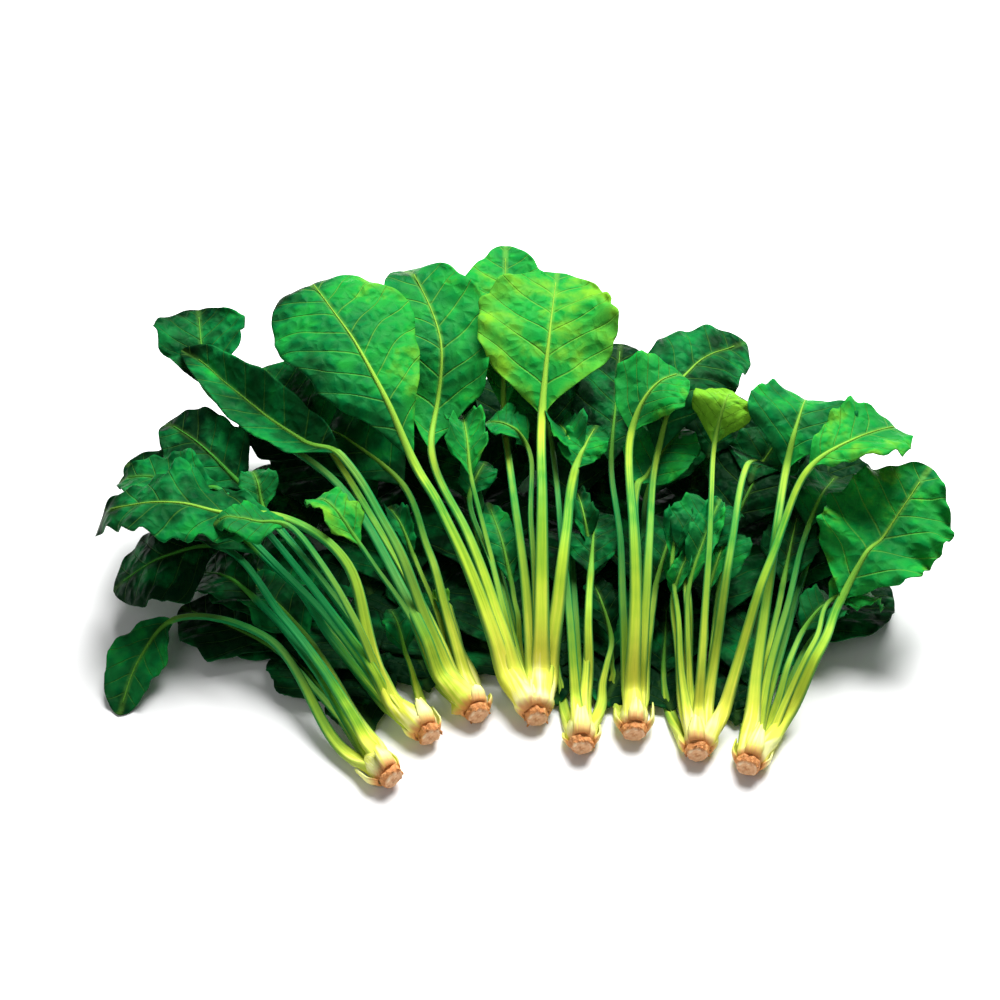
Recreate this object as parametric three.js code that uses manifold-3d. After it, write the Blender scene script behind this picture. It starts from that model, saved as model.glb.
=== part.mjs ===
// A bunch of spinach: eight whole plants lying on a table, fanned out from their trimmed roots.
// Millimetres, +Z up. The roots point towards -Y and the leaves spread towards +Y.
// Each plant is one solid: leaf stalks and blades grown from a short crown. Its trimmed root end,
// of another colour, is a solid of its own just in front of the crown.

import * as THREE from 'three';
import { mergeVertices } from 'three/addons/utils/BufferGeometryUtils.js';
import Module from 'manifold-3d';

const wasm = await Module();
wasm.setup();

// ---- Driving dimensions ----

const BUNCH_CENTRE = [9.3, -6.55]; // middle of the bunch's outline in the layout below

const CROWN_RADIUS = 8.6;
const CROWN_LENGTH = 20;
const CROWN_HEIGHT = 7.4; // axis above the table: less than the radius, so the underside is pressed flat
const ROOT_LENGTH = 3.6;
const ROOT_RADIUS = 5.8;
const ROOT_GAP = 0.3;

const STALK_HALF_WIDTH = { crown: 6.4, middle: 2.8, neck: 2 };
const STALK_HALF_DEPTH = { crown: 3.8, middle: 2.2, neck: 1.6 };
const STALK_FAN = { root: 6, shank: 15 }; // how far off the crown's axis the outer stalks stand
const SHANK_LENGTH = 28; // the stretch along which a stalk still follows its crown
const MAX_FAN_ANGLE = 22;

const BLADE_THICKNESS = 0.9;
const BLADE_MIN_HALF_WIDTH = 1.1;
const MIDRIB_SHARE = 0.16; // share of the blade that the stalk runs on into

// Flat strips across and down a blade, and the sides and stretches of its stalk, by its width.
const LEAF_GRIDS = [
  { upTo: 24, across: 2, down: 4, sides: 4, steps: 4 },
  { upTo: 44, across: 4, down: 5, sides: 5, steps: 5 },
  { upTo: Infinity, across: 6, down: 5, sides: 5, steps: 5 },
];

const SIMPLER_BY = 0.3; // how far a surface may move to save triangles

const NECK_AT = 3 / 5; // where the blade starts along the six-point centre line
const STALK_END = 1 + MIDRIB_SHARE * (1 - NECK_AT) / NECK_AT; // in stalk lengths from the crown
const CROWN_SIDES = 10;
const CROWN_TURN = Math.PI / CROWN_SIDES; // puts a flat side underneath

// The leaves are laid from the bottom of the heap to its top. Each is raised to clear those below.
const CELL = 3;
const CLEARANCE = 1.1;
const OWN_CLEARANCE = 0.5;
const OWN_FREE_LENGTH = 50; // nearer its crown than this, a leaf may grow into its own plant's
const LIFT_REACH = 30; // a raised spot raises its leaf this far to each side
const LIFT_START = 18; // nearer its crown than this, no stalk is raised
const LIFT_FULL = 44;

// Middle of each trimmed root on the table, and the compass heading of its plant in degrees from +X.
const PLANTS = [
  { foot: [-51, -146], heading: 131 },
  { foot: [-34, -121], heading: 115 },
  { foot: [-11, -108], heading: 108 },
  { foot: [17, -110], heading: 97 },
  { foot: [38, -127], heading: 90 },
  { foot: [63, -119], heading: 88 },
  { foot: [92, -131], heading: 84 },
  { foot: [115, -139], heading: 71 },
];

// What a leaf has unless its own row says otherwise. Angles are in degrees.
// neck and tip are the blade's two ends; via bends the stalk and mid bends the blade.
const USUAL_LEAF = {
  width: 40, // across the blade at its widest
  shoulder: 0.45, // where along the blade it is widest
  arch: 6, // rise of the blade's middle above the straight line from neck to tip
  roll: 0, // turn of the blade about its midrib, right side down when positive
  cup: 0.12, // how far the margins rise, as a share of the half width
  fold: 0.05, // the same, but as a straight V
  ruffle: 2, // height of the waves at the margin
  waves: 2,
  stalk: 0.75, // thickness against the stoutest stalk
};

// A leaf pressed flat by the heap.
const LOW = { arch: 3, cup: 0.05, fold: 0.02, ruffle: 1.2, stalk: 0.6, across: 4, down: 4,
  sides: 4, steps: 4 };

const LEAVES = [
  // Short leaves on the table between the crowns: every other plant first, so that they interleave.
  { ...LOW, plant: 1, neck: [-80, -102, 5], tip: [-108, -62, 1], width: 36 },
  { ...LOW, plant: 3, neck: [-34, -74, 5], tip: [-58, -30, 1], width: 44 },
  { ...LOW, plant: 5, neck: [28, -82, 5], tip: [22, -28, 1], width: 44 },
  { ...LOW, plant: 7, neck: [79, -84, 5], tip: [84, -28, 1], width: 46 },
  { ...LOW, plant: 2, neck: [-62, -84, 5], tip: [-92, -46, 1], width: 44 },
  { ...LOW, plant: 4, neck: [0, -70, 5], tip: [-14, -20, 1], width: 46 },
  { ...LOW, plant: 6, neck: [54, -78, 5], tip: [54, -24, 1], width: 46 },
  { ...LOW, plant: 8, neck: [121, -94, 5], tip: [130, -36, 1], width: 48 },

  // Long low leaves, which carry the heap.
  { ...LOW, plant: 1, neck: [-108, -72, 8], tip: [-160, -36, 0], width: 46 },
  { ...LOW, plant: 3, neck: [-46, -35, 8], tip: [-76, 66, 0], width: 62 },
  { ...LOW, plant: 5, neck: [36, -42, 8], tip: [32, 60, 0], width: 58 },
  { ...LOW, plant: 7, neck: [106, -58, 8], tip: [128, 62, 0], width: 62 },
  { ...LOW, plant: 2, neck: [-88, -56, 8], tip: [-146, 6, 0], width: 60 },
  { ...LOW, plant: 4, neck: [-6, -35, 8], tip: [-24, 66, 0], width: 60 },
  { ...LOW, plant: 6, neck: [70, -42, 8], tip: [84, 62, 0], width: 60 },
  { ...LOW, plant: 8, neck: [148, -74, 8], tip: [192, -10, 0], width: 50 },
  { ...LOW, plant: 8, neck: [148, -40, 11], tip: [180, 44, 3], width: 54 },

  // Leaves hidden in the back of the heap.
  { ...LOW, plant: 3, neck: [-62, 6, 20], tip: [-120, 72, 14], width: 48, roll: -4 },
  { ...LOW, plant: 4, neck: [-10, 12, 24], tip: [-34, 98, 22], width: 52, roll: -4 },
  { ...LOW, plant: 5, neck: [36, 10, 24], tip: [42, 102, 24], width: 52 },
  { ...LOW, plant: 6, neck: [74, 12, 20], tip: [94, 88, 22], width: 48, roll: 4 },
  { ...LOW, plant: 7, neck: [116, -6, 20], tip: [150, 70, 30], width: 48 },
  { ...LOW, plant: 8, neck: [150, -34, 18], tip: [184, 40, 26], width: 44 },

  // Plant 1, front left.
  { plant: 1, neck: [-158, -60, 18], tip: [-182, -106, 0], width: 30, via: [-109, -80, 26],
    mid: [-174, -80, 11] },
  { plant: 1, neck: [-92, -74, 16], tip: [-128, -28, 14], width: 34, stalk: 1 },
  { plant: 1, neck: [-118, -56, 20], tip: [-156, -26, 18], width: 36 },
  { plant: 1, neck: [-136, -30, 36], tip: [-192, -40, 18], width: 58, arch: 9, cup: -0.14 },

  // Small leaves low in the middle.
  { plant: 2, neck: [-45, -82, 17], tip: [-53, -62, 28], width: 15, stalk: 0.5 },
  { plant: 3, neck: [-26, -60, 26], tip: [-31, -48, 27], width: 9, arch: 1, stalk: 1.5 },
  { plant: 5, neck: [54, -70, 14], tip: [44, -38, 24], width: 17, stalk: 0.6 },
  { plant: 5, neck: [44, -46, 18], tip: [48, 0, 34], width: 30, stalk: 0.8 },
  { plant: 6, neck: [76, -46, 18], tip: [90, 0, 30], width: 28, stalk: 0.7 },
  { plant: 7, neck: [84, -53, 20], tip: [94, -32, 30], width: 18, stalk: 0.55 },
  { plant: 7, neck: [105, -58, 18], tip: [116, -19, 30], width: 22, stalk: 0.55 },
  { plant: 8, neck: [145, -73, 12], tip: [168, -48, 16], width: 24, stalk: 0.6 },

  // Leaves halfway up the back of the heap.
  { ...LOW, plant: 4, neck: [-16, 24, 42], tip: [-60, 108, 54], width: 46 },
  { ...LOW, plant: 5, neck: [27, 22, 40], tip: [19, 114, 58], width: 46 },
  { ...LOW, plant: 6, neck: [56, 18, 38], tip: [64, 102, 54], width: 44 },

  // Plant 2, left.
  { plant: 2, neck: [-116, -38, 24], tip: [-166, 4, 28], width: 42 },
  { plant: 2, neck: [-144, -9, 36], tip: [-190, 23, 44], width: 36, roll: -10, stalk: 0.6 },
  { plant: 2, neck: [-124, -6, 38], tip: [-170, 37, 50], width: 42, roll: -14, stalk: 0.65 },
  { plant: 2, neck: [-114, -24, 46], tip: [-122, -1, 60], width: 19, stalk: 0.5 },
  { plant: 2, neck: [-136, -18, 34], tip: [-190, 2, 32], width: 34, cup: 0.2, stalk: 0.6 },
  { plant: 2, neck: [-106, -38, 42], tip: [-198, -30, 24], width: 46, via: [-72, -61, 42],
    shoulder: 0.42, cup: -0.1, ruffle: 4, waves: 2.6, stalk: 1, mid: [-152, -37, 40] },
  { plant: 2, neck: [-100, -47, 40], tip: [-136, -48, 32], width: 24, cup: -0.2, stalk: 0.6 },

  // Plant 3, left of the middle.
  { plant: 3, neck: [-48, 8, 34], tip: [-112, 66, 38], width: 54, roll: -8 },
  { plant: 3, neck: [-88, 28, 40], tip: [-126, 88, 52], width: 52, roll: -10 },
  { plant: 3, neck: [-150, 52, 54], tip: [-158, 104, 78], width: 48, via: [-80, -4, 36], shoulder: 0.68,
    cup: 0.25 },
  { plant: 3, neck: [-66, -48, 30], tip: [-94, -18, 44], width: 24, shoulder: 0.38, roll: 16, stalk: 0.5 },
  { plant: 3, neck: [-77, -4, 46], tip: [-164, 74, 66], width: 37, shoulder: 0.36, fold: 0.6,
    cup: 0.05, roll: -16, stalk: 0.85 },

  // Plants 6 to 8, right.
  { plant: 6, neck: [68, -2, 32], tip: [94, 40, 44], width: 38, stalk: 0.85 },
  { plant: 6, neck: [78, 12, 34], tip: [128, 84, 74], width: 50, mid: [98, 56, 74], cup: -0.1,
    roll: 14, ruffle: 3 },
  { plant: 7, neck: [90, -47, 24], tip: [111, -8, 42], width: 36, fold: 0.2, stalk: 0.85 },
  { plant: 8, neck: [138, -46, 20], tip: [150, 0, 32], width: 28, stalk: 0.65 },
  { plant: 8, neck: [152, -18, 26], tip: [172, 24, 34], width: 36, stalk: 0.6 },
  { plant: 7, neck: [121, -2, 36], tip: [145, 34, 58], width: 40, stalk: 0.7 },
  { plant: 7, neck: [106, 12, 44], tip: [116, 38, 66], width: 32, cup: -0.2, roll: 12, stalk: 0.55,
    arch: 8 },
  { plant: 8, neck: [158, -62, 14], tip: [188, -46, 8], width: 26, via: [150, -84, 12], ruffle: 3,
    stalk: 0.5 },
  { plant: 8, neck: [163, -64, 18], tip: [211, -2, 66], width: 60, via: [152, -90, 16], roll: 10,
    ruffle: 6, waves: 3, stalk: 0.95 },
  { plant: 8, neck: [140, -4, 38], tip: [157, 48, 44], width: 54, roll: 6, ruffle: 3, stalk: 0.9 },
  { plant: 7, neck: [148, -16, 38], tip: [200, 18, 34], width: 42, shoulder: 0.6, ruffle: 3, arch: 4 },

  // Plants 4 to 6, the middle, on top of the heap.
  { plant: 4, neck: [6, -50, 22], tip: [-6, -1, 40], width: 16, stalk: 0.55 },
  { plant: 4, neck: [-15, -8, 34], tip: [-7, 16, 50], width: 20, stalk: 0.55 },
  { plant: 4, neck: [2, 44, 58], tip: [3, 139, 94], width: 44, shoulder: 0.55, arch: 9 },
  { plant: 4, neck: [14, 24, 42], tip: [-7, 34, 56], width: 26, stalk: 0.5 },
  { plant: 4, neck: [37, 4, 42], tip: [49, 34, 60], width: 26, ruffle: 3, stalk: 1.05 },
  { plant: 4, neck: [-34, 14, 50], tip: [-50, 124, 86], width: 56, shoulder: 0.6, ruffle: 3,
    mid: [-30, 68, 72], stalk: 0.9 },
  { plant: 4, neck: [21, 31, 54], tip: [30, 116, 80], width: 76, shoulder: 0.5, arch: 9, ruffle: 3,
    stalk: 1.05 },
  { plant: 6, neck: [65, 18, 40], tip: [92, 46, 54], width: 42, mid: [76, 35, 54], stalk: 0.9 },
  { plant: 4, neck: [-42, 0, 56], tip: [-103, 108, 88], width: 72, shoulder: 0.62, arch: 10,
    cup: -0.12, fold: -0.04, roll: -4, stalk: 1.05 },
];

const PLANT_GREEN = 0x2f8f1f;
const ROOT_BROWN = 0xc98a5c;

// ---- Small helpers ----

const UP = new THREE.Vector3(0, 0, 1);
const radians = THREE.MathUtils.degToRad;
const mix = THREE.MathUtils.lerp;
const ease = THREE.MathUtils.smoothstep;

/** A closed geometry whose shared corners are merged, as a solid. */
function toSolid(geometry) {
  geometry.deleteAttribute('normal');
  geometry.deleteAttribute('uv');
  const merged = mergeVertices(geometry, 1e-4);
  return new wasm.Manifold(new wasm.Mesh({
    numProp: 3,
    vertProperties: new Float32Array(merged.attributes.position.array),
    triVerts: new Uint32Array(merged.index.array),
  }));
}

/**
 * A capped tube: place(x, y, z) sends the unit circle in x and z, at y from 0 to 1, into space.
 * Its first corner is turned from straight up by the angle given.
 */
function tubeGeometry(sides, steps, place, turn = 0) {
  const geometry = new THREE.CylinderGeometry(1, 1, 1, sides, steps, false, turn);
  const corners = geometry.attributes.position;
  for (let i = 0; i < corners.count; i += 1) {
    const spot = place(corners.getX(i), corners.getY(i) + 0.5, corners.getZ(i));
    corners.setXYZ(i, spot.x, spot.y, Math.max(spot.z, 0));
  }
  return geometry;
}

// ---- Crown and root ----

/** A plant's own axes: foot on the table, ahead along the stalks and side to their right. */
function plantAxes({ foot, heading }) {
  const angle = radians(heading);
  const ahead = new THREE.Vector3(Math.cos(angle), Math.sin(angle), 0);
  const side = new THREE.Vector3().crossVectors(ahead, UP);
  return { foot: new THREE.Vector3(foot[0], foot[1], CROWN_HEIGHT), ahead, side };
}

/** A spot at a distance along a plant's axis and at offsets to its side and above it. */
function onPlant(axes, along, aside, above) {
  return axes.foot.clone()
    .addScaledVector(axes.ahead, along)
    .addScaledVector(axes.side, aside)
    .addScaledVector(UP, above);
}

/** The crown: blunt where the root was, widest before its middle and closing among the stalks. */
function crownSolid(axes) {
  const radiusAt = (y) => CROWN_RADIUS * Math.min(0.7 + 1.6 * y, 1, 1.7 * (1.02 - y) ** 0.55);
  return toSolid(tubeGeometry(CROWN_SIDES, 3, (x, y, z) => {
    const radius = radiusAt(y);
    return onPlant(axes, y * CROWN_LENGTH, x * radius, z * radius);
  }, CROWN_TURN));
}

/** The trimmed root end: a short thick disc, smaller where it was cut. */
function rootSolid(axes) {
  return toSolid(tubeGeometry(CROWN_SIDES, 1, (x, y, z) => {
    const radius = ROOT_RADIUS * mix(0.85, 1, y);
    const along = -ROOT_GAP - ROOT_LENGTH * (1 - y);
    return onPlant(axes, along, x * radius, z * radius);
  }, CROWN_TURN));
}

// ---- Leaves ----

/** The leaf's centre line from inside its crown, along the stalk and the midrib, to the tip. */
function centreLine(leaf, axes) {
  const neck = new THREE.Vector3(...leaf.neck);
  const tip = new THREE.Vector3(...leaf.tip);
  const reach = neck.clone().sub(axes.foot);
  const turn = Math.atan2(reach.dot(axes.side), reach.dot(axes.ahead));
  const limit = radians(MAX_FAN_ANGLE);
  const fan = THREE.MathUtils.clamp(turn, -limit, limit) / limit;
  const climb = THREE.MathUtils.clamp((leaf.neck[2] - 24) / 26, -1, 1);
  const root = onPlant(axes, 4, fan * STALK_FAN.root, climb * STALK_FAN.root);
  const shank = onPlant(axes, SHANK_LENGTH, fan * STALK_FAN.shank, 1 + climb * 0.6 * STALK_FAN.shank);
  const via = leaf.via
    ? new THREE.Vector3(...leaf.via)
    : shank.clone().lerp(neck, 0.5).addScaledVector(UP, 0.04 * shank.distanceTo(neck));
  const mid = leaf.mid
    ? new THREE.Vector3(...leaf.mid)
    : neck.clone().lerp(tip, 0.5).addScaledVector(UP, leaf.arch);
  return new THREE.CatmullRomCurve3([root, shank, via, neck, mid, tip]);
}

/** How far along the blade each row of its corners lies: closer together towards the tip. */
function rowShare(row, rows) {
  return mix(row / rows, Math.sin(0.5 * Math.PI * row / rows), 0.5);
}

/** Everything that the surfaces of one leaf are worked out from. */
function makeLeaf(row, index) {
  const grid = LEAF_GRIDS.find(({ upTo }) => row.width <= upTo);
  const leaf = { ...USUAL_LEAF, ...grid, ...row };
  const line = centreLine(leaf, plantAxes(PLANTS[leaf.plant - 1]));
  const knots = [];
  for (let j = 0; j < leaf.steps; j += 1) knots.push({ t: NECK_AT * j / leaf.steps });
  for (let j = 0; j <= leaf.down; j += 1) knots.push({ t: mix(NECK_AT, 1, rowShare(j, leaf.down)) });
  let along = 0;
  knots.forEach((knot, k) => {
    if (k > 0) along += line.getPoint(knot.t).distanceTo(line.getPoint(knots[k - 1].t));
    Object.assign(knot, { along, need: 0, lift: 0 });
  });
  return { ...leaf, line, knots, phase: 2.4 * index };
}

/** The knot that starts the stretch of a leaf in which t lies. */
function stretchOf(leaf, t) {
  const next = leaf.knots.findIndex((knot) => knot.t > t);
  return next < 0 ? leaf.knots.length - 2 : Math.max(next - 1, 0);
}

/** A knot measure of a leaf (its lift, or the length along it) at t. */
function measureAt(leaf, t, measure) {
  const k = stretchOf(leaf, t);
  const [from, to] = [leaf.knots[k], leaf.knots[k + 1]];
  return mix(from[measure], to[measure], (t - from.t) / (to.t - from.t));
}

/** Centre and crosswise axes of a leaf at t, from 0 in the crown to 1 at the tip. */
function frameAt(leaf, t) {
  const ahead = leaf.line.getTangent(t);
  const roll = radians(leaf.roll) * ease(t, 0.2, NECK_AT);
  const side = new THREE.Vector3().crossVectors(ahead, UP).normalize().applyAxisAngle(ahead, roll);
  const normal = new THREE.Vector3().crossVectors(side, ahead);
  const centre = leaf.line.getPoint(t);
  centre.z += measureAt(leaf, t, 'lift');
  return { centre, side, normal };
}

/** Half the blade's width at s, from 0 at the neck to 1 at the tip. */
function bladeHalfWidth(leaf, s) {
  const widening = Math.sin(0.5 * Math.PI * Math.min(s / leaf.shoulder, 1)) ** 1.25;
  const closing = Math.max((s - leaf.shoulder) / (1 - leaf.shoulder), 0);
  const narrowing = Math.max(Math.cos(0.5 * Math.PI * closing), 0) ** 0.62;
  const edge = 1 + 0.05 * Math.sin(2 * Math.PI * (leaf.waves + 1) * s + leaf.phase);
  return Math.max(0.5 * leaf.width * widening * narrowing * edge, BLADE_MIN_HALF_WIDTH);
}

/** A spot on a blade: u from -1 to 1 across it, s along it and offset off its middle surface. */
function bladePoint(leaf, u, s, offset) {
  const { centre, side, normal } = frameAt(leaf, mix(NECK_AT, 1, s));
  const half = bladeHalfWidth(leaf, s);
  const bend = leaf.cup * u * u + leaf.fold * Math.abs(u);
  const reach = half * u / Math.hypot(1, leaf.cup + leaf.fold);
  const turns = leaf.waves * s + (u > 0 ? 0.37 : 0);
  const wave = leaf.ruffle * Math.abs(u) ** 1.5 * Math.sin(2 * Math.PI * turns + leaf.phase)
    * Math.sqrt(Math.sin(Math.PI * s));
  return centre.addScaledVector(side, reach).addScaledVector(normal, half * bend + wave + offset);
}

/** A stalk measure at p, from 0 in the crown to 1 at the neck: it narrows fast, then slowly. */
function stalkSize(size, p) {
  return p < 0.5 ? mix(size.crown, size.middle, 2 * p) : mix(size.middle, size.neck, 2 * p - 1);
}

/** A spot on a stalk's skin: x and z on the unit circle, p from 0 in the crown to 1 at the neck. */
function stalkPoint(leaf, x, p, z) {
  const { centre, side, normal } = frameAt(leaf, p * NECK_AT);
  const size = leaf.stalk * (p > 1 ? mix(1, 0.5, (p - 1) / (STALK_END - 1)) : 1);
  const halfWidth = size * stalkSize(STALK_HALF_WIDTH, Math.min(p, 1));
  const halfDepth = size * stalkSize(STALK_HALF_DEPTH, Math.min(p, 1));
  return centre.addScaledVector(side, x * halfWidth).addScaledVector(normal, z * halfDepth);
}

/** Corner rows of one face of a blade, above (1) or below (-1) its middle surface. */
function bladeFace(leaf, face) {
  const rows = [];
  for (let j = 0; j <= leaf.down; j += 1) {
    const s = rowShare(j, leaf.down);
    const spots = [];
    for (let i = 0; i <= leaf.across; i += 1) {
      const spot = bladePoint(leaf, 2 * i / leaf.across - 1, s, face * BLADE_THICKNESS / 2);
      spot.z = Math.max(spot.z, face > 0 ? BLADE_THICKNESS : 0);
      spots.push(spot);
    }
    rows.push({ t: mix(NECK_AT, 1, s), spots });
  }
  return rows;
}

/** The blade as a thin closed plate, with both faces split along the same diagonals. */
function bladeGeometry(leaf) {
  const columns = leaf.across + 1;
  const faceSize = columns * (leaf.down + 1);
  const spots = [1, -1].flatMap((face) => bladeFace(leaf, face).flatMap((row) => row.spots));
  const index = [];
  for (let j = 0; j < leaf.down; j += 1) {
    for (let i = 0; i < leaf.across; i += 1) {
      const a = j * columns + i;
      const [b, c, d] = [a + 1, a + columns, a + columns + 1];
      index.push(a, b, d, a, d, c);
      index.push(faceSize + a, faceSize + d, faceSize + b, faceSize + a, faceSize + c, faceSize + d);
    }
  }
  const bottom = Array.from({ length: leaf.across }, (_, i) => i);
  const right = Array.from({ length: leaf.down }, (_, j) => j * columns + leaf.across);
  const top = bottom.map((i) => faceSize - 1 - i);
  const left = right.map((_, j) => (leaf.down - j) * columns);
  const rim = [...bottom, ...right, ...top, ...left];
  rim.forEach((from, k) => {
    const to = rim[(k + 1) % rim.length];
    index.push(from, faceSize + from, faceSize + to, from, faceSize + to, to);
  });
  const geometry = new THREE.BufferGeometry();
  geometry.setAttribute('position', new THREE.Float32BufferAttribute(
    spots.flatMap((spot) => spot.toArray()),
    3,
  ));
  geometry.setIndex(index);
  return geometry;
}

/** How far along the stalk a row of its corners lies: the last is a little way into the blade. */
function stalkShare(leaf, row) {
  return row > leaf.steps ? STALK_END : row / leaf.steps;
}

/** The stalk, run on a little way into the blade as its midrib. */
function stalkGeometry(leaf) {
  const rows = leaf.steps + 1;
  return tubeGeometry(leaf.sides, rows, (x, y, z) => (
    stalkPoint(leaf, x, stalkShare(leaf, Math.round(y * rows)), z)
  ));
}

// ---- Heaping ----

/** Calls visit(x, y, z, t) on a close grid of spots of a sheet given as rows of spots. */
function visitSheet(rows, visit) {
  const spot = new THREE.Vector3();
  const far = new THREE.Vector3();
  for (let j = 0; j + 1 < rows.length; j += 1) {
    for (let i = 0; i + 1 < rows[j].spots.length; i += 1) {
      const [a, b] = [rows[j].spots[i], rows[j].spots[i + 1]];
      const [c, d] = [rows[j + 1].spots[i], rows[j + 1].spots[i + 1]];
      const across = Math.max(Math.ceil(Math.max(a.distanceTo(b), c.distanceTo(d)) / CELL * 1.3), 1);
      const down = Math.max(Math.ceil(Math.max(a.distanceTo(c), b.distanceTo(d)) / CELL * 1.3), 1);
      for (let m = 0; m <= down; m += 1) {
        for (let k = 0; k <= across; k += 1) {
          spot.lerpVectors(a, b, k / across);
          far.lerpVectors(c, d, k / across);
          spot.lerp(far, m / down);
          visit(spot.x, spot.y, spot.z, mix(rows[j].t, rows[j + 1].t, m / down));
        }
      }
    }
  }
}

/** The stalk's skin on one side, above (1) or below (-1), as rows of spots. */
function stalkFace(leaf, face) {
  const rows = [];
  for (let j = 0; j <= leaf.steps; j += 1) {
    const p = stalkShare(leaf, j);
    const spots = [-1, -0.5, 0, 0.5, 1].map((x) => {
      const spot = stalkPoint(leaf, x, p, face * Math.sqrt(1 - x * x * 0.98));
      spot.z = Math.max(spot.z, 0);
      return spot;
    });
    rows.push({ t: p * NECK_AT, spots });
  }
  return rows;
}

/** Height maps of what lies in the heap: for each plant all of it, and its leaves' free ends. */
class Heap {
  constructor() {
    this.whole = PLANTS.map(() => new Map());
    this.free = PLANTS.map(() => new Map());
  }

  static cell(x, y, dx, dy) {
    return (Math.round(x / CELL) + dx + 500) * 1000 + Math.round(y / CELL) + dy + 500;
  }

  /** How high the heap reaches near a spot, with clearance, as the leaf of this plant must see it. */
  heightFor(plant, x, y, isFree) {
    let height = 0;
    for (let dx = -1; dx <= 1; dx += 1) {
      for (let dy = -1; dy <= 1; dy += 1) {
        const cell = Heap.cell(x, y, dx, dy);
        this.whole.forEach((map, other) => {
          if (other !== plant) height = Math.max(height, (map.get(cell) ?? -CLEARANCE) + CLEARANCE);
        });
        if (isFree) {
          height = Math.max(height, (this.free[plant].get(cell) ?? -OWN_CLEARANCE) + OWN_CLEARANCE);
        }
      }
    }
    return height;
  }

  add(leaf) {
    const plant = leaf.plant - 1;
    for (const rows of [stalkFace(leaf, 1), bladeFace(leaf, 1)]) {
      visitSheet(rows, (x, y, z, t) => {
        const cell = Heap.cell(x, y, 0, 0);
        const maps = [this.whole[plant]];
        if (measureAt(leaf, t, 'along') > OWN_FREE_LENGTH) maps.push(this.free[plant]);
        for (const map of maps) map.set(cell, Math.max(map.get(cell) ?? 0, z));
      });
    }
  }
}

/** Raises a leaf just enough, and smoothly along its length, to clear the heap, then adds it. */
function layOnHeap(leaf, heap) {
  for (const rows of [stalkFace(leaf, -1), bladeFace(leaf, -1)]) {
    visitSheet(rows, (x, y, z, t) => {
      const isFree = measureAt(leaf, t, 'along') > OWN_FREE_LENGTH;
      const need = heap.heightFor(leaf.plant - 1, x, y, isFree) - z;
      const k = stretchOf(leaf, t);
      for (const knot of [leaf.knots[k], leaf.knots[k + 1]]) knot.need = Math.max(knot.need, need);
    });
  }
  for (const knot of leaf.knots) {
    for (const other of leaf.knots) {
      const apart = Math.min(Math.abs(knot.along - other.along) / LIFT_REACH, 1);
      knot.lift = Math.max(knot.lift, other.need * 0.5 * (1 + Math.cos(Math.PI * apart)));
    }
    knot.lift *= ease(knot.along, LIFT_START, LIFT_FULL);
  }
  heap.add(leaf);
}

// ---- The bunch ----

/** The one body of a solid that has any volume to speak of: sealed bubbles and scraps go. */
function largestBody(solid) {
  const bodies = solid.simplify(SIMPLER_BY).decompose();
  return bodies.reduce((best, body) => (body.volume() > best.volume() ? body : best));
}

function toMesh(solid, name, colour) {
  const { vertProperties, triVerts } = solid.getMesh();
  const geometry = new THREE.BufferGeometry();
  geometry.setAttribute('position', new THREE.Float32BufferAttribute(vertProperties, 3));
  geometry.setIndex(Array.from(triVerts));
  geometry.computeVertexNormals();
  const material = new THREE.MeshStandardMaterial({ color: colour, roughness: 0.45, metalness: 0 });
  const mesh = new THREE.Mesh(geometry, material);
  mesh.name = name;
  return mesh;
}

const heap = new Heap();
const leaves = LEAVES.map(makeLeaf);
leaves.forEach((leaf) => layOnHeap(leaf, heap));

const group = new THREE.Group();
group.name = 'spinach_bunch';
group.position.set(-BUNCH_CENTRE[0], -BUNCH_CENTRE[1], 0);
PLANTS.forEach((plant, i) => {
  const axes = plantAxes(plant);
  const grown = leaves
    .filter((leaf) => leaf.plant === i + 1)
    .flatMap((leaf) => [stalkGeometry(leaf), bladeGeometry(leaf)])
    .reduce((solid, geometry) => solid.add(toSolid(geometry)), crownSolid(axes));
  group.add(toMesh(largestBody(grown), `plant_${i + 1}`, PLANT_GREEN));
  group.add(toMesh(rootSolid(axes), `root_${i + 1}`, ROOT_BROWN));
});

export default group;
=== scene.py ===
"""A bunch of spinach, dressed: crinkled veined leaves, ribbed pale stalks and trimmed root ends.

Lengths are in millimetres unless a name says otherwise. Meshes become metres as they are made.
"""

import math
from functools import partial, partialmethod

import bpy
import numpy as np
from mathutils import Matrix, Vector


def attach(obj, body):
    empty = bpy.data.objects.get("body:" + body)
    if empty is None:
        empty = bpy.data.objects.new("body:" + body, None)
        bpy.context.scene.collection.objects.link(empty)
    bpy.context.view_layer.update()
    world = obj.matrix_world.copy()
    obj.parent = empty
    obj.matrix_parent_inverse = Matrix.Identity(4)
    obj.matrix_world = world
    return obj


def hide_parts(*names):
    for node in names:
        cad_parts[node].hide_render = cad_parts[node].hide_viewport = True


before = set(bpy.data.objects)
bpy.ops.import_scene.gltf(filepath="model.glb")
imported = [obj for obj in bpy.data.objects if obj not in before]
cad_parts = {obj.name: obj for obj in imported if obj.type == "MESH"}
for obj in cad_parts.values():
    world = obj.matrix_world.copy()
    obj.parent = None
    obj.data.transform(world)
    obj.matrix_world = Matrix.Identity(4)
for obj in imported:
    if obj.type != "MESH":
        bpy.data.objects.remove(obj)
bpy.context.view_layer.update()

MM = 0.001  # metres in a millimetre
UP = np.array([0.0, 0.0, 1.0])

# ---- The layout of the bunch, as the solids have it ----

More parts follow.
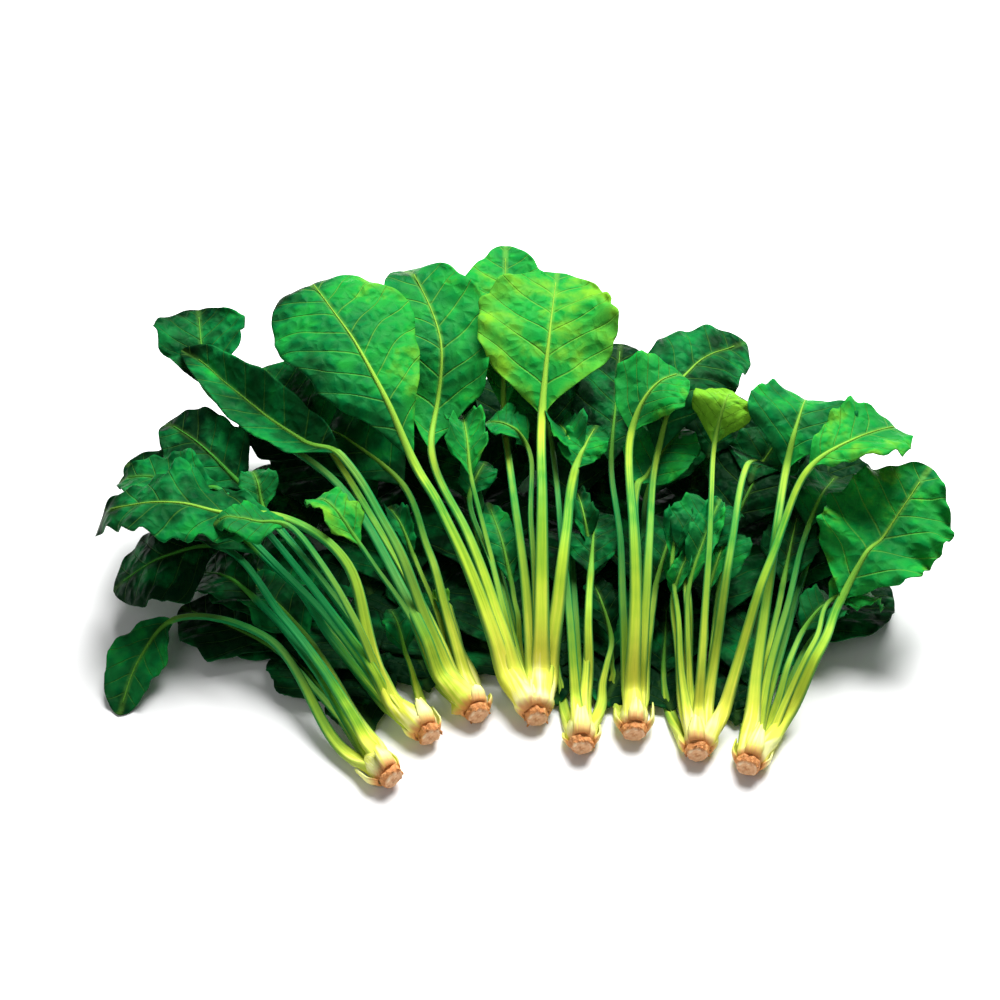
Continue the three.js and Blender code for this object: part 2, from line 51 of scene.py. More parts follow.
BUNCH_CENTRE = np.array([9.3, -6.55, 0.0])
CROWN_HEIGHT = 7.4
SHANK_LENGTH = 28
MAX_FAN_ANGLE = math.radians(22)
STALK_FAN = {"root": 6, "shank": 15}
STALK_HALF_WIDTH = (6.4, 2.8, 2)  # in the crown, in the middle and at the neck
STALK_HALF_DEPTH = (3.8, 2.2, 1.6)
NECK_AT = 3 / 5  # where the blade starts along the six-point centre line
SOLID_THICKNESS = 0.9  # of a solid's blade
SOLID_NECK_HALF_WIDTH = 1.1

# Middle of each trimmed root, and the compass heading of its plant in degrees from +X.
PLANTS = [
    ((-51, -146), 131),
    ((-34, -121), 115),
    ((-11, -108), 108),
    ((17, -110), 97),
    ((38, -127), 90),
    ((63, -119), 88),
    ((92, -131), 84),
    ((115, -139), 71),
]

# Flat strips across and down a solid's blade, and the stretches of its stalk, by the blade's width.
SOLID_GRIDS = [
    (24, {"across": 2, "down": 4, "steps": 4}),
    (44, {"across": 4, "down": 5, "steps": 5}),
    (math.inf, {"across": 6, "down": 5, "steps": 5}),
]


def leaf(plant, neck, tip, width, **more):
    """One leaf's row: tint runs from 0, dark, to 1, yellow-green, and pale is the same for its stalk.

    Its painted side light makes its right half lighter and its left half darker, as painted light and
    shade. Droop is how far the blade's end curls down, as a share of its length, and it also darkens that
    end as painted shade; rumple scales its creases and the lobes of its margin.
    """
    usual = dict(
        shoulder=0.45, arch=6, roll=0, cup=0.12, fold=0.05, ruffle=2, waves=2, stalk=0.75, tint=0.35,
        pale=0.7, via=None, mid=None, shank=SHANK_LENGTH, lean=0, droop=0.05, rumple=1,
    )
    grid = next(grid for up_to, grid in SOLID_GRIDS if width <= up_to)
    return {**usual, **grid, **more, "plant": plant, "neck": neck, "tip": tip, "width": width}


# Low leaves get a near-black tint: painted shade where they lie beneath the heap.
low = partial(
    leaf, arch=3, cup=0.05, fold=0.02, ruffle=1.2, stalk=0.6, across=4, down=4, steps=4, tint=0.03,
    pale=0.25, rumple=0.8,
)

LEAVES = [
    # Short leaves on the table between the crowns.
    low(1, (-80, -102, 5), (-108, -62, 1), 36),
    low(3, (-34, -74, 5), (-58, -30, 1), 44),
    low(5, (28, -82, 5), (22, -28, 1), 44),
    low(7, (79, -84, 5), (84, -28, 1), 46),
    low(2, (-62, -84, 5), (-92, -46, 1), 44),
    low(4, (0, -70, 5), (-14, -20, 1), 46),
    low(6, (54, -78, 5), (54, -24, 1), 46),
    low(8, (121, -94, 5), (130, -36, 1), 48),
    # Long low leaves, which carry the heap.
    low(1, (-108, -72, 8), (-160, -36, 0), 46),
    low(3, (-46, -35, 8), (-76, 66, 0), 62),
    low(5, (36, -42, 8), (32, 60, 0), 58),
    low(7, (106, -58, 8), (128, 62, 0), 62),
    low(2, (-88, -56, 8), (-146, 6, 0), 60),
    low(4, (-6, -35, 8), (-24, 66, 0), 60),
    low(6, (70, -42, 8), (84, 62, 0), 60),
    low(8, (148, -74, 8), (192, -10, 0), 50),
    low(8, (148, -40, 11), (180, 44, 3), 54),
    # Leaves hidden in the back of the heap.
    low(3, (-62, 6, 20), (-120, 72, 14), 48, roll=-4),
    low(4, (-10, 12, 24), (-34, 98, 22), 52, roll=-4),
    low(5, (36, 10, 24), (42, 102, 24), 52),
    low(6, (74, 12, 20), (94, 88, 22), 48, roll=4),
    low(7, (116, -6, 20), (150, 70, 30), 48),
    low(8, (150, -34, 18), (184, 40, 26), 44),
    # Plant 1, front left.
    leaf(1, (-158, -60, 18), (-182, -106, 0), 30, via=(-109, -80, 26), mid=(-174, -80, 11), tint=0.22,
         pale=0.3),
    leaf(1, (-92, -74, 16), (-128, -28, 14), 34, stalk=1, tint=0.1, pale=0.55),
    leaf(1, (-118, -56, 20), (-156, -26, 18), 36, tint=0.05, pale=0.03),
    leaf(1, (-136, -30, 36), (-192, -40, 18), 58, arch=9, cup=-0.14, tint=0.0, pale=0.05, rumple=0.6),
    # Small leaves low in the middle.
    leaf(2, (-45, -82, 17), (-53, -62, 28), 15, stalk=0.5, tint=0.15, pale=0.3),
    leaf(3, (-26, -60, 26), (-31, -48, 27), 9, arch=1, stalk=1.5, tint=0.6, pale=1),
    leaf(5, (54, -70, 14), (44, -38, 24), 17, stalk=0.6, tint=0.08, pale=0.5, rumple=1.6),
    leaf(5, (44, -46, 18), (48, 0, 34), 30, stalk=0.8, tint=0.08, pale=0.8, rumple=1.6),
    leaf(6, (76, -46, 18), (90, 0, 30), 28, stalk=0.7, tint=0.08, pale=0.6, rumple=1.6),
    leaf(7, (84, -53, 20), (94, -32, 30), 18, stalk=0.55, tint=0.2, pale=0.4),
    leaf(7, (105, -58, 18), (116, -19, 30), 22, stalk=0.55, tint=0.2, pale=0.4),
    leaf(8, (145, -73, 12), (168, -48, 16), 24, stalk=0.6, tint=0.2, pale=0.4),
    # Leaves halfway up the back of the heap.
    low(4, (-16, 24, 42), (-60, 108, 54), 46),
    low(5, (27, 22, 40), (19, 114, 58), 46),
    low(6, (56, 18, 38), (64, 102, 54), 44),
    # Plant 2, left.
    leaf(2, (-116, -38, 24), (-166, 4, 28), 42, tint=0.05, pale=0.03),
    leaf(2, (-144, -9, 36), (-190, 23, 44), 36, roll=-10, stalk=0.6, tint=0.1, pale=0.05),
    leaf(2, (-124, -6, 38), (-170, 37, 50), 42, roll=-14, stalk=0.65, tint=0.05, pale=0.03),
    leaf(2, (-114, -24, 46), (-122, -1, 60), 19, stalk=0.5, tint=0.3, pale=0.2),
    leaf(2, (-136, -18, 34), (-190, 2, 32), 34, cup=0.2, stalk=0.6, tint=0.2, pale=0.03, rumple=1.5),
    leaf(2, (-106, -38, 42), (-198, -30, 24), 46, via=(-72, -61, 42), shoulder=0.42, cup=-0.1,
         ruffle=4, waves=2.6, stalk=1, mid=(-152, -37, 40), tint=0.13, pale=0.8, rumple=1.8),
    leaf(2, (-100, -47, 40), (-136, -48, 32), 24, cup=-0.2, stalk=0.6, tint=0.3, pale=0.4),
    # Plant 3, left of the middle.
    leaf(3, (-48, 8, 34), (-112, 66, 38), 54, roll=-8, tint=0.1),
    leaf(3, (-88, 28, 40), (-126, 88, 52), 52, roll=-10, tint=0.12),
    leaf(3, (-150, 52, 54), (-158, 104, 78), 48, via=(-80, -4, 36), shoulder=0.68, cup=0.25, tint=0.12,
         pale=0.2),
    leaf(3, (-66, -48, 30), (-94, -18, 44), 24, shoulder=0.38, roll=16, stalk=0.5, tint=0.52, pale=0.3),
    leaf(3, (-77, -4, 46), (-164, 74, 66), 37, shoulder=0.36, fold=0.6, cup=0.05, roll=-16, stalk=0.85,
         tint=0.16, pale=0.4),
    # Plants 6 to 8, right.
    leaf(6, (68, -2, 32), (94, 40, 44), 38, stalk=0.85, tint=0.35),
    leaf(6, (78, 12, 34), (128, 84, 74), 50, mid=(98, 56, 74), cup=-0.1, roll=14, ruffle=3, tint=0.12),
    leaf(7, (90, -47, 24), (111, -8, 42), 36, fold=0.2, stalk=0.85, tint=0.16, rumple=1.8),
    leaf(8, (138, -46, 20), (150, 0, 32), 28, stalk=0.65, tint=0.08, rumple=1.6),
    leaf(8, (152, -18, 26), (172, 24, 34), 36, stalk=0.6, tint=0.15, pale=0.4),
    leaf(7, (121, -2, 36), (145, 34, 58), 40, stalk=0.7, tint=0.15),
    leaf(7, (106, 12, 44), (116, 38, 66), 32, cup=-0.2, roll=12, stalk=0.55, arch=8, tint=0.9),
    leaf(8, (158, -62, 14), (188, -46, 8), 26, via=(150, -84, 12), ruffle=3, stalk=0.5, tint=0.4),
    leaf(8, (163, -64, 18), (211, -2, 66), 60, via=(152, -90, 16), roll=10, ruffle=6, waves=3,
         stalk=0.95, tint=0.44, pale=0.9, rumple=2),
    leaf(8, (140, -4, 38), (157, 48, 44), 54, roll=6, ruffle=3, stalk=0.9, tint=0.22),
    leaf(7, (148, -16, 38), (200, 18, 34), 42, shoulder=0.6, ruffle=3, arch=4, tint=0.48, pale=0.9,
         rumple=1.5),
    # Plants 4 to 6, the middle, on top of the heap.
    leaf(4, (6, -50, 22), (-6, -1, 40), 16, stalk=0.55, tint=0.25, pale=0.4),
    leaf(4, (-15, -8, 34), (-7, 16, 50), 20, stalk=0.55, tint=0.25, pale=0.5, rumple=2),
    leaf(4, (2, 44, 58), (3, 139, 94), 44, shoulder=0.55, arch=9, tint=0.5),
    leaf(4, (14, 24, 42), (-7, 34, 56), 26, stalk=0.5, tint=0.3, pale=0.5, rumple=2),
    leaf(4, (37, 4, 42), (49, 34, 60), 26, ruffle=3, stalk=1.05, tint=0.3, pale=1, rumple=2),
    leaf(4, (-34, 14, 50), (-50, 124, 86), 56, shoulder=0.6, ruffle=3, mid=(-30, 68, 72), stalk=0.9,
         tint=0.42, pale=0.9, rumple=1.7, droop=0.1),
    leaf(4, (21, 31, 54), (30, 116, 80), 76, shoulder=0.5, arch=9, ruffle=3, stalk=1.05, tint=0.64,
         pale=1, rumple=1.5),
    leaf(6, (65, 18, 40), (92, 46, 54), 42, mid=(76, 35, 54), stalk=0.9, tint=0.45, pale=0.9),
    leaf(4, (-42, 0, 56), (-103, 108, 88), 72, shoulder=0.62, arch=10, cup=-0.12, fold=-0.04,
         roll=-4, stalk=1.05, tint=0.35, lean=0.19, pale=1, droop=0.12),
]

# Small folded leaves that stand between the stalks on top of the heap, where the solids have none.
curl = partial(leaf, fold=0.45, cup=0.3, ruffle=3, rumple=1.8, stalk=0.5, tint=0.3, pale=0.6)

CURLS = [
    curl(7, (90, -62, 40), (108, -14, 56), 17),
    curl(7, (99, -64, 38), (114, -24, 52), 13),
    curl(7, (83, -46, 44), (90, -14, 50), 17, tint=0.15),
    curl(7, (83, -62, 34), (91, -42, 44), 11),
    curl(4, (38, 10, 56), (29, 42, 54), 24),
    curl(4, (-14, -4, 58), (-19, 42, 60), 26, tint=0.4),
    curl(3, (-42, -34, 34), (-56, -4, 40), 14, tint=0.15),
    curl(5, (44, -30, 34), (38, 4, 44), 13, tint=0.15),
]

# Where the seeds of each kind of noise or draw start: most add the number of a leaf or a plant.
SEEDS = dict(
    shade_fillers=5, rootlets=40, stubs=60, crinkle=100, curl=200, lobes=300, stalk=500, crown=700, root=800,
    veins=900,
)

# ---- Small helpers ----


def mix(a, b, share):
    """The value a share of the way from a to b."""
    return (1 - share) * a + share * b


def ease(x, low_end, high_end):
    """A smooth step from 0 at low_end to 1 at high_end."""
    x = np.clip((x - low_end) / (high_end - low_end), 0, 1)
    return x * x * (3 - 2 * x)


def unit(v):
    """Vectors scaled to length 1, along the last axis."""
    return v / np.maximum(np.linalg.norm(v, axis=-1, keepdims=True), 1e-12)


def keep_above(level, spots):
    """Raises the spots that are lower than a level above the table to it."""
    spots[..., 2] = np.maximum(spots[..., 2], level)
    return spots


def beside(line, sideways, upward):
    """Rows of spots at offsets to the side of a line of spots and along its normals."""
    centre, side, normal = (values[:, None] for values in line)
    return centre + sideways[..., None] * side + upward[..., None] * normal


def ring_turns(sides):
    """The turns of a ring's corners about its axis, with their sines and cosines."""
    around = 2 * np.pi * np.arange(sides)[None, :] / sides
    return around, np.sin(around), np.cos(around)


class Noise:
    """Smooth seeded noise from -1 to 1 over the plane, with bumps about one unit across."""

    SIZE = 61

    def __init__(self, seed):
        self.lattice = np.random.default_rng(seed).uniform(-1, 1, (self.SIZE, self.SIZE))

    def __call__(self, x, y):
        x, y = np.broadcast_arrays(x, y)
        i, j = np.floor(x).astype(int), np.floor(y).astype(int)
        fx, fy = ease(x - i, 0, 1), ease(y - j, 0, 1)
        pick = lambda di, dj: self.lattice[(i + di) % self.SIZE, (j + dj) % self.SIZE]
        return mix(mix(pick(0, 0), pick(1, 0), fx), mix(pick(0, 1), pick(1, 1), fx), fy)


# ---- Centre lines ----


def plant_axes(number):
    """A plant's foot, the way ahead along its stalks and the side to their right."""
    (x, y), heading = PLANTS[number - 1]
    angle = math.radians(heading)
    ahead = np.array([math.cos(angle), math.sin(angle), 0.0])
    return np.array([x, y, CROWN_HEIGHT]), ahead, np.cross(ahead, UP)


def on_plant(axes, along, aside, above):
    """A spot at a distance along a plant's axis and at offsets to its side and above it."""
    foot, ahead, side = axes
    return foot + along * ahead + aside * side + above * UP


def centre_points(row):
    """The six points of a leaf's centre line: in the crown, shank, bend, neck, mid blade and tip."""
    axes = plant_axes(row["plant"])
    neck, tip = np.array(row["neck"], float), np.array(row["tip"], float)
    reach = neck - axes[0]
    turn = math.atan2(reach @ axes[2], reach @ axes[1])
    fan = float(np.clip(turn / MAX_FAN_ANGLE, -1, 1))
    climb = float(np.clip((neck[2] - 24) / 26, -1, 1))
    root = on_plant(axes, 4, fan * STALK_FAN["root"], climb * STALK_FAN["root"])
    shank = on_plant(axes, row["shank"], fan * STALK_FAN["shank"], 1 + climb * 0.6 * STALK_FAN["shank"])
    via, mid = row["via"], row["mid"]
    if via is None:
        via = mix(shank, neck, 0.5) + UP * 0.04 * np.linalg.norm(shank - neck)
    if mid is None:
        mid = mix(neck, tip, 0.5) + UP * row["arch"]
    return np.array([root, shank, via, neck, mid, tip], float)


def curve(points, t):
    """Spots on the centripetal Catmull-Rom curve through the points, at an array of t from 0 to 1."""
    first, last = 2 * points[0] - points[1], 2 * points[-1] - points[-2]
    p = np.vstack([first, points, last])
    spans = len(points) - 1
    i = np.minimum(np.floor(t * spans).astype(int), spans - 1)
    w = (t * spans - i)[:, None]
    p0, p1, p2, p3 = p[i], p[i + 1], p[i + 2], p[i + 3]
    d0, d1, d2 = (
        np.sqrt(np.linalg.norm(b - a, axis=1))[:, None] for a, b in ((p0, p1), (p1, p2), (p2, p3))
    )
    m1 = ((p1 - p0) / d0 - (p2 - p0) / (d0 + d1) + (p2 - p1) / d1) * d1
    m2 = ((p2 - p1) / d1 - (p3 - p1) / (d1 + d2) + (p3 - p2) / d2) * d1
    return (
        p1 + m1 * w + (3 * (p2 - p1) - 2 * m1 - m2) * w**2 + (2 * (p1 - p2) + m1 + m2) * w**3
    )


def tangent(points, t):
    """The way ahead along the curve."""
    step = 1e-4
    return unit(curve(points, np.minimum(t + step, 1)) - curve(points, np.maximum(t - step, 0)))


# ---- A leaf's surfaces ----


def row_share(count):
    """How far along the blade each row lies, for a number of stretches: closer towards the tip."""
    x = np.arange(count + 1) / count
    return mix(x, np.sin(0.5 * np.pi * x), 0.5)


def make_leaf(row, index):
    """Everything that the surfaces of one leaf are worked out from."""
    points = centre_points(row)
    stalk_t = NECK_AT * np.arange(row["steps"]) / row["steps"]
    t = np.concatenate([stalk_t, mix(NECK_AT, 1, row_share(row["down"]))])
    spots = curve(points, t)
    along = np.concatenate([[0], np.cumsum(np.linalg.norm(np.diff(spots, axis=0), axis=1))])
    fine_t = np.linspace(NECK_AT, 1, 40)
    length = np.linalg.norm(np.diff(curve(points, fine_t), axis=0), axis=1).sum()
    return {
        **row, "points": points, "t": t, "along": along, "lift": np.zeros(len(t)), "phase": 2.4 * index,
        "length": length, "seed": index,
    }


def frame_at(one, t, lift):
    """Centre, side and normal of a leaf at an array of t, raised by an array of lifts."""
    ahead = tangent(one["points"], t)
    roll = (math.radians(one["roll"]) * ease(t, 0.2, NECK_AT))[:, None]
    flat = unit(np.cross(ahead, UP))
    side = flat * np.cos(roll) + np.cross(ahead, flat) * np.sin(roll)
    return curve(one["points"], t) + lift[:, None] * UP, side, np.cross(side, ahead)


def half_width(one, s):
    """Half the blade's width at s, from 0 at the neck to 1 at the tip."""
    widening = np.sin(0.5 * np.pi * np.minimum(s / one["shoulder"], 1)) ** 1.25
    closing = np.maximum((s - one["shoulder"]) / (1 - one["shoulder"]), 0)
    narrowing = np.maximum(np.cos(0.5 * np.pi * closing), 0) ** 0.62
    edge = 1 + 0.05 * np.sin(2 * np.pi * (one["waves"] + 1) * s + one["phase"])
    return 0.5 * one["width"] * widening * narrowing * edge


def margin_wave(one, u, s):
    """Height of the waves of the blade, which grow towards its margins."""
    turns = one["waves"] * s + 0.37 * (u > 0)
    swing = np.sin(2 * np.pi * turns + one["phase"])
    return one["ruffle"] * np.abs(u) ** 1.5 * swing * np.sqrt(np.maximum(np.sin(np.pi * s), 0))


def blade_rows(one, face):
    """Corners of one face of a solid's blade, as rows of spots: above (1) or below (-1)."""
    s = row_share(one["down"])
    line = frame_at(one, mix(NECK_AT, 1, s), one["lift"][one["steps"]:])
    half = np.maximum(half_width(one, s), SOLID_NECK_HALF_WIDTH)[:, None]
    u = (2 * np.arange(one["across"] + 1) / one["across"] - 1)[None, :]
    bend = one["cup"] * u * u + one["fold"] * np.abs(u)
    rise = half * bend + margin_wave(one, u, s[:, None]) + face * SOLID_THICKNESS / 2
    reach = half * u / math.hypot(1, one["cup"] + one["fold"])
    return keep_above(SOLID_THICKNESS if face > 0 else 0, beside(line, reach, rise))


def stalk_size(sizes, p):
    """A stalk measure at p, from 0 in the crown to 1 at the neck."""
    return np.interp(p, [0, 0.5, 1], sizes)


def stalk_rows(one, face):
    """The skin of a solid's stalk on one side, above (1) or below (-1), as rows of spots."""
    p = np.arange(one["steps"] + 1) / one["steps"]
    line = frame_at(one, p * NECK_AT, one["lift"][: one["steps"] + 1])
    x = np.array([-1, -0.5, 0, 0.5, 1])[None, :]
    width = one["stalk"] * stalk_size(STALK_HALF_WIDTH, p)[:, None] * x
    depth = one["stalk"] * stalk_size(STALK_HALF_DEPTH, p)[:, None] * face * np.sqrt(1 - 0.98 * x * x)
    return keep_above(0, beside(line, width, depth))


# ---- Heaping: each leaf is raised to clear the ones below it, as in the solids ----

CELL = 3
CLEARANCE = 1.1
OWN_CLEARANCE = 0.5
OWN_FREE_LENGTH = 50
LIFT_REACH = 30
LIFT_START = 18
LIFT_FULL = 44
HEAP_SIZE = 200
EMPTY = -1e6


def sheet_samples(spots, t):
    """A close grid of spots of a sheet given as rows of spots, with the t of each."""
    found = []
    for j in range(len(spots) - 1):
        for i in range(spots.shape[1] - 1):
            a, b, c, d = spots[j, i], spots[j, i + 1], spots[j + 1, i], spots[j + 1, i + 1]
            gap = lambda p, q: float(np.linalg.norm(p - q))
            across = max(math.ceil(max(gap(a, b), gap(c, d)) / CELL * 1.3), 1)
            down = max(math.ceil(max(gap(a, c), gap(b, d)) / CELL * 1.3), 1)
            k = (np.arange(across + 1) / across)[None, :, None]
            m = (np.arange(down + 1) / down)[:, None, None]
            grid = mix(mix(a, b, k), mix(c, d, k), m)
            times = np.broadcast_to(mix(t[j], t[j + 1], m), grid.shape[:2] + (1,))
            found.append(np.concatenate([grid, times], axis=2).reshape(-1, 4))
    return np.vstack(found)


def cells(samples):
    """Height map cells of an array of spots."""
    return tuple(np.floor(samples[:, axis] / CELL + 0.5).astype(int) + HEAP_SIZE // 2 for axis in (0, 1))


def spread(heights):
    """The highest of each cell and its eight neighbours."""
    around = [np.roll(heights, (di, dj), (0, 1)) for di in (-1, 0, 1) for dj in (-1, 0, 1)]
    return np.max(around, axis=0)


def both_sheets(one, face):
    """Samples of a leaf's stalk and blade on one face."""
    stalk_t = NECK_AT * np.arange(one["steps"] + 1) / one["steps"]
    blade_t = one["t"][one["steps"]:]
    return np.vstack([
        sheet_samples(stalk_rows(one, face), stalk_t),
        sheet_samples(blade_rows(one, face), blade_t),
    ])


def lay_on_heap(one, whole, free):
    """Raises a leaf just enough, and smoothly along its length, to clear the heap, then adds it."""
    own = one["plant"] - 1
    others = np.max([heights for i, heights in enumerate(whole) if i != own], axis=0)
    near = np.maximum(spread(others) + CLEARANCE, 0)
    far = np.maximum(near, spread(free[own]) + OWN_CLEARANCE)
    samples = both_sheets(one, -1)
    spot = cells(samples)
    along = np.interp(samples[:, 3], one["t"], one["along"])
    need = np.where(along > OWN_FREE_LENGTH, far[spot], near[spot]) - samples[:, 2]
    last = len(one["t"]) - 2
    stretch = np.clip(np.searchsorted(one["t"], samples[:, 3], side="right") - 1, 0, last)
    needs = np.zeros(last + 2)
    np.maximum.at(needs, stretch, need)
    np.maximum.at(needs, stretch + 1, need)
    apart = np.minimum(np.abs(one["along"][:, None] - one["along"][None, :]) / LIFT_REACH, 1)
    lift = np.max(needs[None, :] * 0.5 * (1 + np.cos(np.pi * apart)), axis=1)
    one["lift"] = lift * ease(one["along"], LIFT_START, LIFT_FULL)
    samples = both_sheets(one, 1)
    along = np.interp(samples[:, 3], one["t"], one["along"])
    np.maximum.at(whole[own], cells(samples), np.maximum(samples[:, 2], 0))
    ends = samples[along > OWN_FREE_LENGTH]
    np.maximum.at(free[own], cells(ends), np.maximum(ends[:, 2], 0))


def smooth_lift(one, t):
    """The leaf's lift at an array of t: through its knots, without overshooting."""
    x, y = one["t"], one["lift"]
    slope = np.diff(y) / np.diff(x)
    product = slope[:-1] * slope[1:]
    middle = np.where(product > 0, 2 * product / np.where(product > 0, slope[:-1] + slope[1:], 1), 0)
    m = np.concatenate([[0], middle, [slope[-1]]])
    i = np.clip(np.searchsorted(x, t, side="right") - 1, 0, len(x) - 2)
    width = x[i + 1] - x[i]
    w = (t - x[i]) / width
    rise = (2 * w**3 - 3 * w**2 + 1) * y[i] + (3 * w**2 - 2 * w**3) * y[i + 1]
    return rise + width * ((w**3 - 2 * w**2 + w) * m[i] + (w**3 - w**2) * m[i + 1])


# ---- Fine blades ----

BLADE_STEP = 1.6  # spacing of the corners of a fine blade
BLADE_THICKNESS = 0.6
OFF_TABLE = 0.1  # the lowest that blades, stalks and stubs come
LEAF_PLACE_STEP = 37.0  # keeps the noise in the materials of two leaves apart
CHANNEL_WIDTH = 2.2  # of the groove along the midrib
CHANNEL_DEPTH = 0.7


def corner_layer(shape, *values):
    """Three numbers for each corner of a grid, from values that fit its shape."""
    return np.stack([np.broadcast_to(value, shape).ravel() for value in values], axis=1)


def strip_faces(rows, columns, start=0, flipped=False):
    """Quads of a grid of corners, row after row."""
    j, i = np.meshgrid(np.arange(rows - 1), np.arange(columns - 1), indexing="ij")
    a = (start + j * columns + i).ravel()
    b, c, d = a + 1, a + columns, a + columns + 1
    return np.stack([a, c, d, b] if flipped else [a, b, d, c], axis=1)


def plate_faces(rows, columns):
    """Quads of a closed plate: its upper face's corners come first, then its lower face's."""
    size = rows * columns
    bottom = np.arange(columns - 1)
    right = np.arange(rows - 1) * columns + columns - 1
    top = size - 1 - bottom
    left = (rows - 1 - np.arange(rows - 1)) * columns
    rim = np.concatenate([bottom, right, top, left])
    onward = np.roll(rim, -1)
    edge = np.stack([rim, size + rim, size + onward, onward], axis=1)
    return np.vstack([strip_faces(rows, columns), strip_faces(rows, columns, size, True), edge])


def vein_spacing(one):
    """Distance between the side veins of a leaf along its midrib."""
    return float(np.clip(one["length"] / 6.5, 5, 14))


def vein_phase(one, across, along):
    """Counts the side veins passed: a whole number on each vein. They run outwards and tipwards."""
    wander = 3 * Noise(SEEDS["veins"] + one["seed"])(across / 18, along / 18)
    forward = 0.8 * np.abs(across) - 0.004 * across**2
    return (along - forward + wander) / vein_spacing(one)


def blade_relief(one, u, s, across, along):
    """How far the blade stands off its plain form: puckers between the veins, crinkles, a channel."""
    crinkle = Noise(SEEDS["crinkle"] + one["seed"])
    spacing = vein_spacing(one)
    inside = np.abs(u) ** 0.5 * (1 - 0.6 * u**4) * np.sqrt(np.sin(np.pi * np.clip(s, 0, 1)))
    pucker = 0.12 * spacing * (0.5 - 0.5 * np.cos(2 * np.pi * vein_phase(one, across, along)))
    coarse = 2.2 * one["rumple"] * crinkle(across / 15 + 7, along / 15)
    fine = 0.6 * crinkle(across / 5.5 + 31, along / 5.5)
    channel = CHANNEL_DEPTH * np.exp(-((across / CHANNEL_WIDTH) ** 2)) * np.sqrt(1 - 0.9 * s)
    return inside * (pucker + (0.3 + 0.7 * np.abs(u)) * (coarse + fine)) - channel


def fine_blade(one):
    """A leaf's blade as a thin closed plate, with what its material needs at each corner."""
    rows = max(round(one["length"] / BLADE_STEP), 14) + 1
    columns = 2 * max(round(one["width"] / 2 / BLADE_STEP), 5) + 1
    x = np.linspace(0, 1, rows)
    s = mix(x, np.sin(0.5 * np.pi * x), 0.45)
    u = np.linspace(-1, 1, columns)[None, :]
    t = mix(NECK_AT, 1, s)
    line = frame_at(one, t, smooth_lift(one, t))
    half = np.maximum(half_width(one, s), mix(one["stalk"] * 1.2, 0.5, ease(s, 0, 0.2)))[:, None]
    s = s[:, None]
    lobes = Noise(SEEDS["lobes"] + one["seed"])
    wide, narrow = lobes(s * 6, np.sign(u) * 9 + 20), lobes(s * 19, np.sign(u) * 5)
    outline = 1 + u * u * one["rumple"] * (0.08 * wide + 0.03 * narrow)
    soft_u = np.sqrt(u * u + 0.01) - 0.1
    bend = one["cup"] * u * u + one["fold"] * soft_u
    across = half * u * outline
    along = one["length"] * s + 0 * u
    frill = 0.6 * one["ruffle"] * np.abs(u) ** 4 * np.sin(2 * np.pi * 3.1 * one["waves"] * s + 5 * u)
    rise = half * bend + margin_wave(one, u, s) + frill * np.sqrt(np.sin(np.pi * s))
    rise = rise + blade_relief(one, u, s, across, along)
    rise = rise - one["droop"] * one["length"] * ease(s, 0.7, 1.15) ** 2
    middle = beside(line, across / math.hypot(1, one["cup"] + one["fold"]), rise)
    skin = BLADE_THICKNESS / 2 * line[2][:, None]
    upper = keep_above(OFF_TABLE + BLADE_THICKNESS, middle + skin)
    lower = keep_above(OFF_TABLE, middle - skin)
    shape = (2, rows, columns)
    under = np.array([0, 1])[:, None, None]
    return {
        "spots": np.vstack([upper.reshape(-1, 3), lower.reshape(-1, 3)]),
        "faces": plate_faces(rows, columns),
        # Second value: the tint, plus painted side light that lightens the right half and shades the left.
        "blade": corner_layer(shape, u, one["tint"] + one["lean"] * u, under),
        # Third value of the veins layer: how much painted shade darkens the curled end.
        "veins": corner_layer(
            shape, vein_phase(one, across, along), np.abs(across), one["droop"] * ease(s, 0.75, 1)
        ),
        "place": corner_layer(shape, across, along, LEAF_PLACE_STEP * one["seed"]),
    }


# ---- Fine stalks ----

STALK_SIDES = 16
STALK_ROWS = 44
MIDRIB_ROWS = 26
MIDRIB_END = 0.88  # share of the blade along which the midrib stands proud
GROOVE = 0.5  # depth of the groove along a stalk's upper side, as a share of its half depth
SHEATH_RADIUS = 7.4  # the stalks' bases wrap the crown like this
FOOT_ROWS = ((3.6, 0.62), (1.9, 0.88))  # how far back a stalk's base runs on, and its size there


def base_turn(one):
    """The turn of a stalk's base about its crown, so that it wraps it, and which way it bends."""
    foot, _, side = plant_axes(one["plant"])
    off = one["points"][0] - foot
    angle = math.atan2(off @ side, -off[2])
    if abs(angle) <= math.pi / 2:
        return -angle, 1
    return math.copysign(math.pi, angle) - angle, -1


def stalk_section(one, t):
    """Half width and half depth of the stalk, and of the midrib that it becomes, at an array of t."""
    p = np.minimum(t / NECK_AT, 1)
    s = np.maximum((t - NECK_AT) / (1 - NECK_AT), 0) / MIDRIB_END
    slim = np.maximum(1 - s, 0) ** 2
    return [
        one["stalk"] * (neck + (crown - neck) * (1 - p) ** 2.3) * slim + least
        for (crown, _, neck), least in ((STALK_HALF_WIDTH, 0.25), (STALK_HALF_DEPTH, 0.35))
    ]


